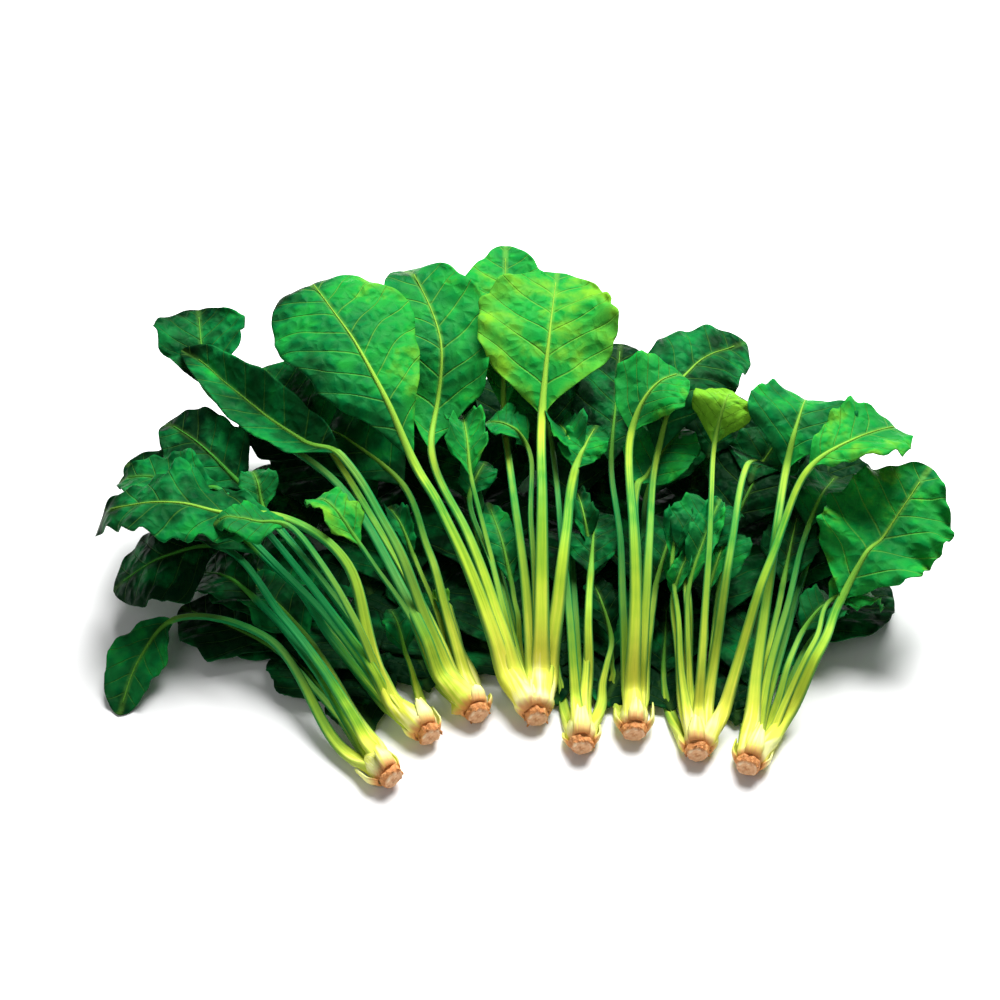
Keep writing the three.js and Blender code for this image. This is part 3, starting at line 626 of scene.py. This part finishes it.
def fine_stalk(one):
    """A leaf's stalk and midrib as one closed tube, with what its material needs at each corner."""
    stalk_t = NECK_AT * np.linspace(0, 1, STALK_ROWS) ** 1.25
    midrib_t = mix(NECK_AT, 1, MIDRIB_END * np.linspace(0, 1, MIDRIB_ROWS + 1)[1:])
    t = np.concatenate([stalk_t, midrib_t])
    centre, side, normal = frame_at(one, t, smooth_lift(one, t))
    turn, inward = base_turn(one)
    wrap = 1 - ease(t / NECK_AT, 0.02, 0.3)
    angle = (turn * wrap)[:, None]
    side, normal = (
        side * np.cos(angle) - normal * np.sin(angle),
        normal * np.cos(angle) + side * np.sin(angle),
    )
    wander = Noise(SEEDS["stalk"] + one["seed"])
    bow = 0.9 * np.sin(np.pi * np.minimum(t / NECK_AT, 1))
    centre = centre + (bow * wander(t * 7, 3))[:, None] * side
    around, x, z = ring_turns(STALK_SIDES)
    width, depth = stalk_section(one, t)
    back, shrink = np.array(FOOT_ROWS).T
    pad = lambda values: np.concatenate([np.repeat(values[:1], len(back), axis=0), values])
    centre, side, normal, wrap, t, width, depth = map(pad, (centre, side, normal, wrap, t, width, depth))
    foot, way, _ = plant_axes(one["plant"])
    off = one["points"][0] - foot
    off = off - (off @ way) * way
    centre[: len(back)] -= back[:, None] * way + (1 - shrink)[:, None] * off
    width[: len(back)] *= shrink
    depth[: len(back)] *= shrink
    width, depth = width[:, None], depth[:, None]
    p = (t / NECK_AT)[:, None]
    hollow = GROOVE * (1 - 0.4 * wrap[:, None]) * (1 - ease(p, 0.92, 1.05))
    z = z * (1 - hollow * np.exp(-((x / 0.5) ** 2)) * (z > 0))
    ribs = 1 + 0.035 * np.cos(5 * around + one["phase"]) * (p < 1)
    bend = inward * wrap[:, None] * (x * width) ** 2 / (2 * SHEATH_RADIUS)
    spots = beside((centre, side, normal), x * width * ribs, z * depth * ribs + bend)
    step = np.linalg.norm(np.diff(centre, axis=0), axis=1)
    along = np.concatenate([[0], np.cumsum(step)])[:, None]
    shape = spots.shape[:2]
    return tube_part(keep_above(OFF_TABLE, spots), {
        "stalk": corner_layer(shape, along, one["pale"], LEAF_PLACE_STEP * one["seed"]),
        "section": corner_layer(shape, p, x, z),
    })


def tube_part(rings, layers):
    """A closed tube from rings of spots, capped at both ends by fans of quads about a middle spot."""
    rows, sides = rings.shape[:2]
    spots = np.vstack([rings.reshape(-1, 3), rings[0].mean(0), rings[-1].mean(0)])
    i = np.arange(sides)
    onward = (i + 1) % sides
    quads = [
        np.stack([j * sides + i, j * sides + onward, (j + 1) * sides + onward, (j + 1) * sides + i], axis=1)
        for j in range(rows - 1)
    ]
    start, end = rows * sides, rows * sides + 1
    pairs, last = i[::2], (rows - 1) * sides
    quads.append(np.stack([np.full(sides // 2, start), (pairs + 2) % sides, pairs + 1, pairs], axis=1))
    quads.append(np.stack([
        np.full(sides // 2, end), last + pairs, last + pairs + 1, last + (pairs + 2) % sides
    ], axis=1))
    part = {"spots": spots, "faces": np.vstack(quads)}
    for name, values in layers.items():
        part[name] = np.vstack([values, values[0], values[-1]])
    return part


# ---- Crowns, torn stalk bases and root ends ----

CROWN_CORE_RADIUS = 6.6
SKIN_RADIUS = 8.7  # of the outer stalks' bases round a crown
ROOT_RADIUS = 5.8
ROOT_LENGTH = 3.6
ROOT_GAP = 0.3
ROUND_SIDES = 48
ROUND_OFF_TABLE = 0.05  # the lowest that crowns and root ends come
STALK_REACH = 60  # a crown is coloured as the start of a stalk this long
STUBS = 3  # torn bases of outer stalks round each crown
STUB_PLACE_STEP = 11.0
ROOTLETS = 7  # trimmed thin roots round each root end
ROOTLET_SIDES = 8


def round_part(number, alongs, radii, seed, rough, ribs, pale):
    """A closed tube about a plant's axis: lists of distances along it and of radii."""
    alongs, radii = np.array(alongs, float)[:, None], np.array(radii, float)[:, None]
    around, x, z = ring_turns(ROUND_SIDES)
    bumps = Noise(seed)(around * 2.2, alongs / 2.5)
    radius = radii * (1 + rough * bumps + ribs * np.cos(9 * around + seed))
    x, z = x * radius, z * radius
    spots = on_plant(plant_axes(number), alongs[..., None], x[..., None], z[..., None])
    return tube_part(keep_above(ROUND_OFF_TABLE, spots), {
        "stalk": corner_layer(x.shape, alongs, pale, z),
        "section": corner_layer(x.shape, alongs / STALK_REACH, x, z),
    })


def crown_part(number):
    """The short heart from which a plant's stalks rise."""
    alongs = (0.2, 0.8, 2.5, 5, 8, 11, 13, 15, 16)
    radii = np.array([0.72, 0.8, 0.92, 1, 1, 0.9, 0.7, 0.45, 0.12]) * CROWN_CORE_RADIUS
    return round_part(number, alongs, radii, SEEDS["crown"] + number, rough=0.05, ribs=0.02, pale=1)


def root_part(number):
    """The trimmed root end: a rough stub with an uneven cut face."""
    cut = -ROOT_GAP - ROOT_LENGTH
    steps = (0.3, 0.2, 0, 0, 0.15, 0.5, 1.2, 2.2, 3.2, ROOT_LENGTH)
    shares = np.array([0.12, 0.3, 0.5, 0.68, 0.8, 0.88, 0.94, 0.98, 1, 0.97])
    alongs = [cut + step for step in steps]
    radii = shares * ROOT_RADIUS
    return round_part(number, alongs, radii, SEEDS["root"] + number, rough=0.16, ribs=0.03, pale=0)


def rootlet_part(axes, turn, start, length, seed):
    """A thin side root, trimmed short, that leaves the root end at a turn about its axis."""
    foot, ahead, side = axes
    out = np.sin(turn) * side + np.cos(turn) * UP
    along = np.linspace(0, 1, 6)
    wander = Noise(seed)
    spots = (
        foot
        + (start - 1.4 * length * along**1.5)[:, None] * ahead
        + (0.8 * ROOT_RADIUS + length * along)[:, None] * out
        + (0.8 * wander(along * 2, 1.0))[:, None] * np.cross(ahead, out)
    )
    around, x, z = ring_turns(ROOTLET_SIDES)
    radius = mix(0.75, 0.4, along)[:, None]
    ring = z.T * np.cross(ahead, out) + x.T * (out + ahead) * 0.7
    rings = spots[:, None] + radius[..., None] * ring
    shape = rings.shape[:2]
    along = start + along[:, None]
    return tube_part(keep_above(ROUND_OFF_TABLE, rings), {
        "stalk": corner_layer(shape, along, 0, 0),
        "section": corner_layer(shape, 0, around + seed, along),
    })


def rootlet_parts(number):
    """The trimmed side roots of one plant, at seeded places."""
    draw = np.random.default_rng(SEEDS["rootlets"] + number)
    return [
        rootlet_part(
            plant_axes(number),
            draw.uniform(-2.4, 2.4),
            -ROOT_GAP - 0.6 - draw.uniform(0, 0.6) * ROOT_LENGTH,
            draw.uniform(0.5, 1.5),
            53 * number + k,
        )
        for k in range(ROOTLETS)
    ]


def skin_radius(along):
    """How far out the bases of the outer stalks stand, at a distance along a crown's axis."""
    return mix(ROOT_RADIUS - 0.4, SKIN_RADIUS, ease(along, -2, 6))


def stub_part(number, turn, length, seed):
    """The torn base of an outer stalk: a short crescent that hugs the crown, at a turn about its axis."""
    axes = plant_axes(number)
    rows, columns = 9, 9
    share = np.linspace(0, 1, rows)[:, None]
    spread = np.linspace(-1, 1, columns)[None, :]
    ragged = 1 + 0.22 * Noise(seed)(spread * 2.5, 0.5)
    along = 0.3 + length * share * ragged
    half_angle = 0.6 * (1 - 0.6 * share)
    angle = turn + spread * half_angle
    thick = np.array([1.1, -0.1])[:, None, None]
    radius = skin_radius(along) + thick * (1 - 0.5 * spread**2)
    spots = on_plant(
        axes, along[..., None], (np.sin(angle) * radius)[..., None], (np.cos(angle) * radius)[..., None]
    )
    return {
        "spots": keep_above(OFF_TABLE, spots).reshape(-1, 3),
        "faces": plate_faces(rows, columns),
        "stalk": corner_layer(radius.shape, along, 0.8, STUB_PLACE_STEP * seed),
        "section": corner_layer(radius.shape, 0.02 * share, spread, 0),
    }


def stub_parts(number):
    """The torn bases round one crown, on the sides that show, at seeded places."""
    draw = np.random.default_rng(SEEDS["stubs"] + number)
    turns = np.linspace(-1.9, 1.9, STUBS) + draw.uniform(-0.25, 0.25, STUBS)
    lengths = draw.uniform(6, 15, STUBS)
    return [
        stub_part(number, turn, length, 61 * number + k)
        for k, (turn, length) in enumerate(zip(turns, lengths))
    ]


# ---- Dark leaves deep in the heap, near black as painted shade ----

BACK_FILLERS = (  # plant, where the blade starts and ends, and its width
    (3, (-38, 24, 12), (-52, 90, 14), 44),
    (3, (-30, -52, 4), (-46, 6, 2), 40),
    (4, (8, 34, 12), (0, 118, 20), 54),
    (6, (54, 14, 12), (52, 80, 14), 42),
    (6, (98, 18, 12), (108, 84, 14), 46),
    (7, (108, 40, 30), (122, 84, 38), 40),
    (8, (128, 24, 28), (150, 74, 34), 44),
    (8, (158, 8, 26), (176, 50, 32), 46),
    (2, (-94, 0, 14), (-128, 52, 14), 46),
    (3, (-92, 44, 24), (-136, 82, 30), 46),
)
FILLER_PLACES = (  # how far along a plant's axis and aside from it a blade starts and ends, and its width
    (26, -12, 62, -22, 34),
    (26, 12, 62, 22, 34),
    (52, -12, 100, -24, 44),
    (52, 12, 100, 24, 44),
    (88, -8, 140, -14, 46),
    (88, 10, 140, 16, 46),
)
FILLER_ENDS = ((1, -1), (len(PLANTS), 1))  # plant and side: nothing lies beyond the end plants


def shade_filler_rows():
    """Near-black leaves, painted shade seen only between the stalks: some in the back, and some flat at
    seeded places.
    """
    draw = np.random.default_rng(SEEDS["shade_fillers"])
    rows = [low(*row, tint=0) for row in BACK_FILLERS]
    # The flat ones lie on the table in the darkest green: painted shadow between the stalks.
    flat = partial(low, arch=2, stalk=0.3, tint=-0.1, pale=0.1)
    for number in range(1, len(PLANTS) + 1):
        axes = plant_axes(number)
        for start, start_aside, end, end_aside, width in FILLER_PLACES:
            if (number, math.copysign(1, end_aside)) in FILLER_ENDS:
                continue
            neck = on_plant(axes, start + draw.uniform(-3, 3), start_aside + draw.uniform(-2, 2), 0)
            tip = on_plant(axes, end + draw.uniform(-6, 6), end_aside + draw.uniform(-5, 5), 0)
            neck[2], tip[2] = 3.0, 1.2
            rows.append(flat(number, neck, tip, width, shank=start / 2))
    return rows


# ---- Pieces ----


def piece(name, parts, material):
    """One mesh object in metres, in the frame of the solids, from parts with their layers."""
    sizes = [len(part["spots"]) for part in parts]
    starts = np.concatenate([[0], np.cumsum(sizes)[:-1]])
    spots = (np.vstack([part["spots"] for part in parts]) - BUNCH_CENTRE) * MM
    faces = np.vstack([part["faces"] + start for part, start in zip(parts, starts)])
    mesh = bpy.data.meshes.new(name)
    mesh.vertices.add(len(spots))
    mesh.vertices.foreach_set("co", spots.astype(np.float32).ravel())
    mesh.loops.add(faces.size)
    mesh.loops.foreach_set("vertex_index", faces.astype(np.int32).ravel())
    mesh.polygons.add(len(faces))
    mesh.polygons.foreach_set("loop_start", np.arange(0, faces.size, 4, dtype=np.int32))
    mesh.update(calc_edges=True)
    mesh.polygons.foreach_set("use_smooth", np.ones(len(faces), bool))
    for layer in sorted(set(parts[0]) - {"spots", "faces"}):
        values = np.vstack([part[layer] for part in parts]).astype(np.float32)
        mesh.attributes.new(layer, "FLOAT_VECTOR", "POINT").data.foreach_set("vector", values.ravel())
    mesh.materials.append(material)
    mesh.validate()
    made = bpy.data.objects.new(name, mesh)
    bpy.context.scene.collection.objects.link(made)
    return made


# ---- Materials ----


class Shader:
    """A material's node tree, built by short calls. Each call gives the socket of its result."""

    def __init__(self, name):
        self.material = bpy.data.materials.new(name)
        self.material.use_nodes = True
        self.tree = self.material.node_tree

    def fill(self, node, inputs):
        """Links or sets a node's inputs, each given by its name or its place."""
        for key, value in inputs.items():
            if isinstance(value, bpy.types.NodeSocket):
                self.tree.links.new(value, node.inputs[key])
            else:
                node.inputs[key].default_value = value

    def node(self, kind, inputs, output=0, **settings):
        """One result of a new node."""
        node = self.tree.nodes.new("ShaderNode" + kind)
        for name, value in settings.items():
            setattr(node, name, value)
        self.fill(node, inputs)
        return node.outputs[output]

    def layer(self, name):
        """The three numbers of a mesh layer."""
        vector = self.node("Attribute", {}, "Vector", attribute_name=name)
        return self.node("SeparateXYZ", {0: vector}).node.outputs

    def vector(self, *values):
        return self.node("CombineXYZ", dict(enumerate(values)))

    def math(self, operation, *values):
        return self.node("Math", dict(enumerate(values)), operation=operation)

    plus = partialmethod(math, "ADD")
    minus = partialmethod(math, "SUBTRACT")
    times = partialmethod(math, "MULTIPLY")

    def step(self, value, low_end, high_end, low_value=0.0, high_value=1.0):
        """A smooth step of a value between two ends."""
        values = value, low_end, high_end, low_value, high_value
        return self.node("MapRange", dict(enumerate(values)), interpolation_type="SMOOTHSTEP")

    def noise(self, place, scale, detail=2.0, roughness=0.5):
        return self.node(
            "TexNoise", {"Vector": place, "Scale": scale, "Detail": detail, "Roughness": roughness}
        )

    def net(self, place, scale):
        """Distance to the nearest line of an irregular net."""
        inputs = {"Vector": place, "Scale": scale}
        return self.node("TexVoronoi", inputs, "Distance", feature="DISTANCE_TO_EDGE")

    def blend(self, share, first, second):
        """A colour a share of the way from the first to the second."""
        first, second = ((*c, 1.0) if isinstance(c, tuple) else c for c in (first, second))
        return self.node("Mix", {0: share, 6: first, 7: second}, 2, data_type="RGBA")

    def ramp(self, value, stops):
        """A colour ramp with (place, colour) stops."""
        result = self.node("ValToRGB", {0: value})
        elements = result.node.color_ramp.elements
        while len(elements) < len(stops):
            elements.new(1.0)
        for element, (place, colour) in zip(elements, stops):
            element.position = place
            element.color = (*colour, 1.0)
        return result

    def bump(self, height, distance):
        return self.node("Bump", {"Height": height, "Distance": distance, "Strength": 1.0})

    def finish(self, **sockets):
        inputs = {name.replace("_", " "): value for name, value in sockets.items()}
        self.fill(self.tree.nodes["Principled BSDF"], inputs)
        return self.material


# The darkest green is the blades' own dark mottling and also painted shade: leaves inside the heap and
# curled ends reach it.
DEEP_GREEN = (0.0008, 0.018, 0.006)
LEAF_GREEN = (0.002, 0.13, 0.028)
BRIGHT_GREEN = (0.007, 0.25, 0.03)
YELLOW_GREEN = (0.13, 0.35, 0.018)
VEIN_GREEN = (0.2, 0.45, 0.05)
UNDER_GREEN = (0.02, 0.17, 0.045)


def blade_material():
    """Glossy blade: mottled greens by its tint, pale side veins and a fine net between them."""
    shader = Shader("spinach_blade")
    # The tint here carries the painted side light across the blade as well.
    u, tint, under = shader.layer("blade")
    phase, across, curl_shade = shader.layer("veins")
    x, y, seed = shader.layer("place")
    place = shader.vector(x, y, seed)
    large = shader.noise(place, 0.035, 2.0)
    middle = shader.noise(place, 0.11, 3.0)
    mottle = shader.plus(shader.times(large, 0.55), shader.times(middle, 0.45))
    mottle = shader.minus(mottle, 0.5)
    dark, light = shader.times(mottle, 2.2), shader.times(mottle, 0.9)
    mottle = shader.math("MAXIMUM", light, dark)
    spread = shader.plus(mottle, tint)
    outward = shader.times(shader.minus(shader.math("ABSOLUTE", u), 0.35), 0.3)
    spread = shader.math("MULTIPLY_ADD", outward, shader.step(tint, 0.1, 0.6), spread)
    # Painted shade: the end that curls down is darkened.
    spread = shader.math("MULTIPLY_ADD", curl_shade, -3.0, spread)
    tone = shader.ramp(spread, [
        (0.0, DEEP_GREEN), (0.3, LEAF_GREEN), (0.62, BRIGHT_GREEN), (1.0, YELLOW_GREEN),
    ])
    share = shader.math("FRACT", phase)
    off_vein = shader.math("MINIMUM", share, shader.minus(1.0, share))
    line = shader.math("MULTIPLY_ADD", shader.math("ABSOLUTE", u), -0.045, 0.075)
    vein = shader.minus(1.0, shader.step(off_vein, 0.0, line))
    vein = shader.times(vein, shader.step(across, 0.2, 1.5))
    warp = shader.math("MULTIPLY_ADD", middle, 6.0, x)
    dome = shader.step(shader.net(shader.vector(warp, y, seed), 0.14), 0.0, 0.4)
    lines = shader.math("MAXIMUM", vein, shader.times(shader.minus(1.0, dome), 0.1))
    rib = shader.minus(1.0, shader.step(across, 0.4, 2.4))
    lines = shader.math("MAXIMUM", lines, shader.times(rib, 0.8))
    strength = shader.times(lines, shader.step(tint, 0.0, 0.6, 0.12, 0.42))
    colour = shader.blend(strength, tone, VEIN_GREEN)
    colour = shader.blend(shader.times(under, 0.45), colour, UNDER_GREEN)
    grain = shader.noise(place, 1.1, 3.0, 0.6)
    height = shader.math("MULTIPLY_ADD", grain, 0.15, shader.times(dome, 0.8))
    height = shader.minus(height, shader.times(vein, 0.5))
    roughness = shader.step(shader.noise(place, 0.3, 2.0), 0.3, 0.7, 0.34, 0.5)
    return shader.finish(
        Base_Color=colour,
        Roughness=shader.math("MULTIPLY_ADD", under, 0.15, roughness),
        Normal=shader.bump(height, 0.0008),
        IOR=1.09,
        Specular_Tint=(0.4, 1.0, 0.5, 1.0),
    )


STALK_FOOT = (0.62, 0.2, 0.06)
STALK_CREAM = (0.97, 0.92, 0.42)
STALK_YELLOW = (0.82, 0.8, 0.09)
STALK_LIME = (0.43, 0.6, 0.04)
STALK_GREEN = (0.06, 0.27, 0.02)
STALK_TEAL = (0.002, 0.17, 0.045)


def stalk_material():
    """Crisp stalk: cream at the base, then yellow to green, streaked along its ribs."""
    shader = Shader("spinach_stalk")
    along, pale, seed = shader.layer("stalk")
    p, x, _ = shader.layer("section")

    def stretched(around_scale, along_scale):
        """The place on the skin, drawn out along the stalk."""
        return shader.vector(shader.times(x, around_scale), shader.times(along, along_scale), seed)

    def swing(value, size):
        """A noise moved to lie about zero, and scaled."""
        return shader.times(shader.minus(value, 0.5), size)

    streaks = shader.noise(stretched(2.6, 0.02), 1.0, 3.0, 0.55)
    cloud = shader.noise(shader.vector(x, along, seed), 0.06, 2.0)
    shift = shader.plus(swing(streaks, 0.42), swing(cloud, 0.3))
    light = shader.plus(shader.math("DIVIDE", along, 150.0), shift)
    pale_tone = shader.ramp(light, [
        (0.0, STALK_CREAM), (0.12, STALK_YELLOW), (0.4, STALK_LIME), (0.75, STALK_GREEN), (1.0, STALK_LIME),
    ])
    dark_tone = shader.ramp(light, [
        (0.0, STALK_YELLOW), (0.12, STALK_LIME), (0.28, STALK_GREEN), (0.45, STALK_TEAL), (1.0, STALK_TEAL),
    ])
    colour = shader.blend(pale, dark_tone, pale_tone)
    # Darker teal flanks: partly the stalks' own green sides, partly painted shade between the stalks.
    flank_tone_and_shade = shader.step(shader.math("ABSOLUTE", x), 0.45, 0.95)
    flank_tone_and_shade = shader.times(flank_tone_and_shade, shader.step(along, 6.0, 40.0, 0.25, 0.85))
    colour = shader.blend(flank_tone_and_shade, colour, STALK_TEAL)
    rib = shader.step(p, 0.97, 1.05)
    rib_colour = shader.blend(pale, STALK_GREEN, VEIN_GREEN)
    colour = shader.blend(shader.times(rib, 0.75), colour, rib_colour)
    foot = shader.plus(along, shader.times(streaks, 6.0))
    colour = shader.blend(shader.step(foot, 3.2, 8.5, 0.85, 0.0), colour, STALK_FOOT)
    lines = shader.noise(stretched(4.0, 0.03), 1.0, 2.0)
    return shader.finish(
        Base_Color=colour,
        Roughness=shader.step(cloud, 0.3, 0.7, 0.3, 0.45),
        Normal=shader.bump(lines, 0.0003),
        IOR=1.15,
        Specular_Tint=(0.3, 1.0, 0.4, 1.0),
    )


ROOT_CUT = [(0.2, (0.5, 0.2, 0.08)), (0.5, (0.72, 0.4, 0.2)), (0.8, (0.85, 0.66, 0.42))]
ROOT_SKIN = [(0.3, (0.38, 0.12, 0.03)), (0.55, (0.62, 0.26, 0.08)), (0.75, (0.78, 0.5, 0.22))]


def root_material():
    """Trimmed root: pinkish brown skin and a paler ringed cut."""
    shader = Shader("spinach_root")
    along, _, _ = shader.layer("stalk")
    _, x, z = shader.layer("section")
    squares = shader.plus(shader.times(x, x), shader.times(z, z))
    radius = shader.math("SQRT", squares)
    rough = shader.noise(shader.vector(x, along, z), 0.45, 4.0, 0.65)
    rings = shader.math("MULTIPLY_ADD", rough, 9.0, shader.times(radius, 2.0))
    cut = shader.ramp(shader.math("MULTIPLY_ADD", shader.math("SINE", rings), 0.07, rough), ROOT_CUT)
    skin = shader.ramp(rough, ROOT_SKIN)
    return shader.finish(
        Base_Color=shader.blend(shader.step(along, -3.9, -3.3), cut, skin),
        Roughness=0.65,
        Normal=shader.bump(rough, 0.0015),
        Specular_IOR_Level=0.3,
    )


# ---- The bunch ----

whole = np.full((len(PLANTS), HEAP_SIZE, HEAP_SIZE), EMPTY)
free = whole.copy()
leaves = [make_leaf(row, index) for index, row in enumerate(LEAVES)]
for one in leaves:
    lay_on_heap(one, whole, free)
curls = [make_leaf(row, SEEDS["curl"] + index) for index, row in enumerate(CURLS)]
shade_fillers = [make_leaf(row, len(LEAVES) + index) for index, row in enumerate(shade_filler_rows())]

blade_look, stalk_look, root_look = blade_material(), stalk_material(), root_material()
for number in range(1, len(PLANTS) + 1):
    grown = [one for one in leaves + curls if one["plant"] == number]
    hidden = [one for one in shade_fillers if one["plant"] == number]
    blades = piece(f"plant_{number}_blades", [fine_blade(one) for one in grown + hidden], blade_look)
    stalks = piece(
        f"plant_{number}_stalks",
        [crown_part(number), *stub_parts(number), *(fine_stalk(one) for one in grown)],
        stalk_look,
    )
    root = piece(f"root_{number}_end", [root_part(number), *rootlet_parts(number)], root_look)
    for made, node, slot in (
        (blades, f"plant_{number}", "leaf"),
        (stalks, f"plant_{number}", "leaf"),
        (root, f"root_{number}", "root"),
    ):
        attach(made, "root")
        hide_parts(node)

# ---- Floor, light and camera, in metres ----

FLOOR_SIZE = 12.0
FLOOR_LEVEL = -0.0003
LIGHT_TARGET = (0.0, 0.0, 0.03)
CAMERA_TARGET = (-0.0093, 0.00655, 0.04)
CAMERA_DISTANCE = 1.0
CAMERA_ELEVATION = math.radians(45)
CAMERA_LENS = 72.0


def add_floor():
    half = FLOOR_SIZE / 2
    mesh = bpy.data.meshes.new("floor")
    corners = [(-half, -half), (half, -half), (half, half), (-half, half)]
    mesh.from_pydata([(x, y, FLOOR_LEVEL) for x, y in corners], [], [(0, 1, 2, 3)])
    floor = bpy.data.objects.new("floor", mesh)
    bpy.context.scene.collection.objects.link(floor)
    look = Shader("pale_floor").finish(
        Base_Color=(0.9, 0.9, 0.9, 1.0), Roughness=0.9, Specular_IOR_Level=0.1
    )
    mesh.materials.append(look)


def aim(thing, place, ahead):
    """Puts a light or the camera in the scene, looking ahead from its place."""
    thing.location = place
    thing.rotation_mode = "QUATERNION"
    thing.rotation_quaternion = ahead.to_track_quat("-Z", "Y")
    bpy.context.scene.collection.objects.link(thing)


def add_light(name, place, size, power):
    data = bpy.data.lights.new(name, "AREA")
    data.shape = "DISK"
    data.size = size
    data.energy = power
    aim(bpy.data.objects.new(name, data), place, Vector(LIGHT_TARGET) - Vector(place))


def add_camera():
    data = bpy.data.cameras.new("camera")
    data.lens = CAMERA_LENS
    data.sensor_width = 36.0
    data.clip_start, data.clip_end = 0.05, 50.0
    camera = bpy.data.objects.new("camera", data)
    back = Vector((0.0, -math.cos(CAMERA_ELEVATION), math.sin(CAMERA_ELEVATION)))
    aim(camera, Vector(CAMERA_TARGET) + CAMERA_DISTANCE * back, -back)
    bpy.context.scene.camera = camera


add_floor()
add_light("key", (0.3, 0.85, 1.4), size=1.2, power=76.0)
add_light("fill", (-0.9, -1.2, 1.5), size=1.4, power=6.0)
world = bpy.data.worlds.new("studio")
world.use_nodes = True
background = world.node_tree.nodes["Background"]
background.inputs["Color"].default_value = (1.0, 1.0, 1.0, 1.0)
background.inputs["Strength"].default_value = 0.13
bpy.context.scene.world = world
bpy.context.scene.view_settings.view_transform = "Standard"
add_camera()
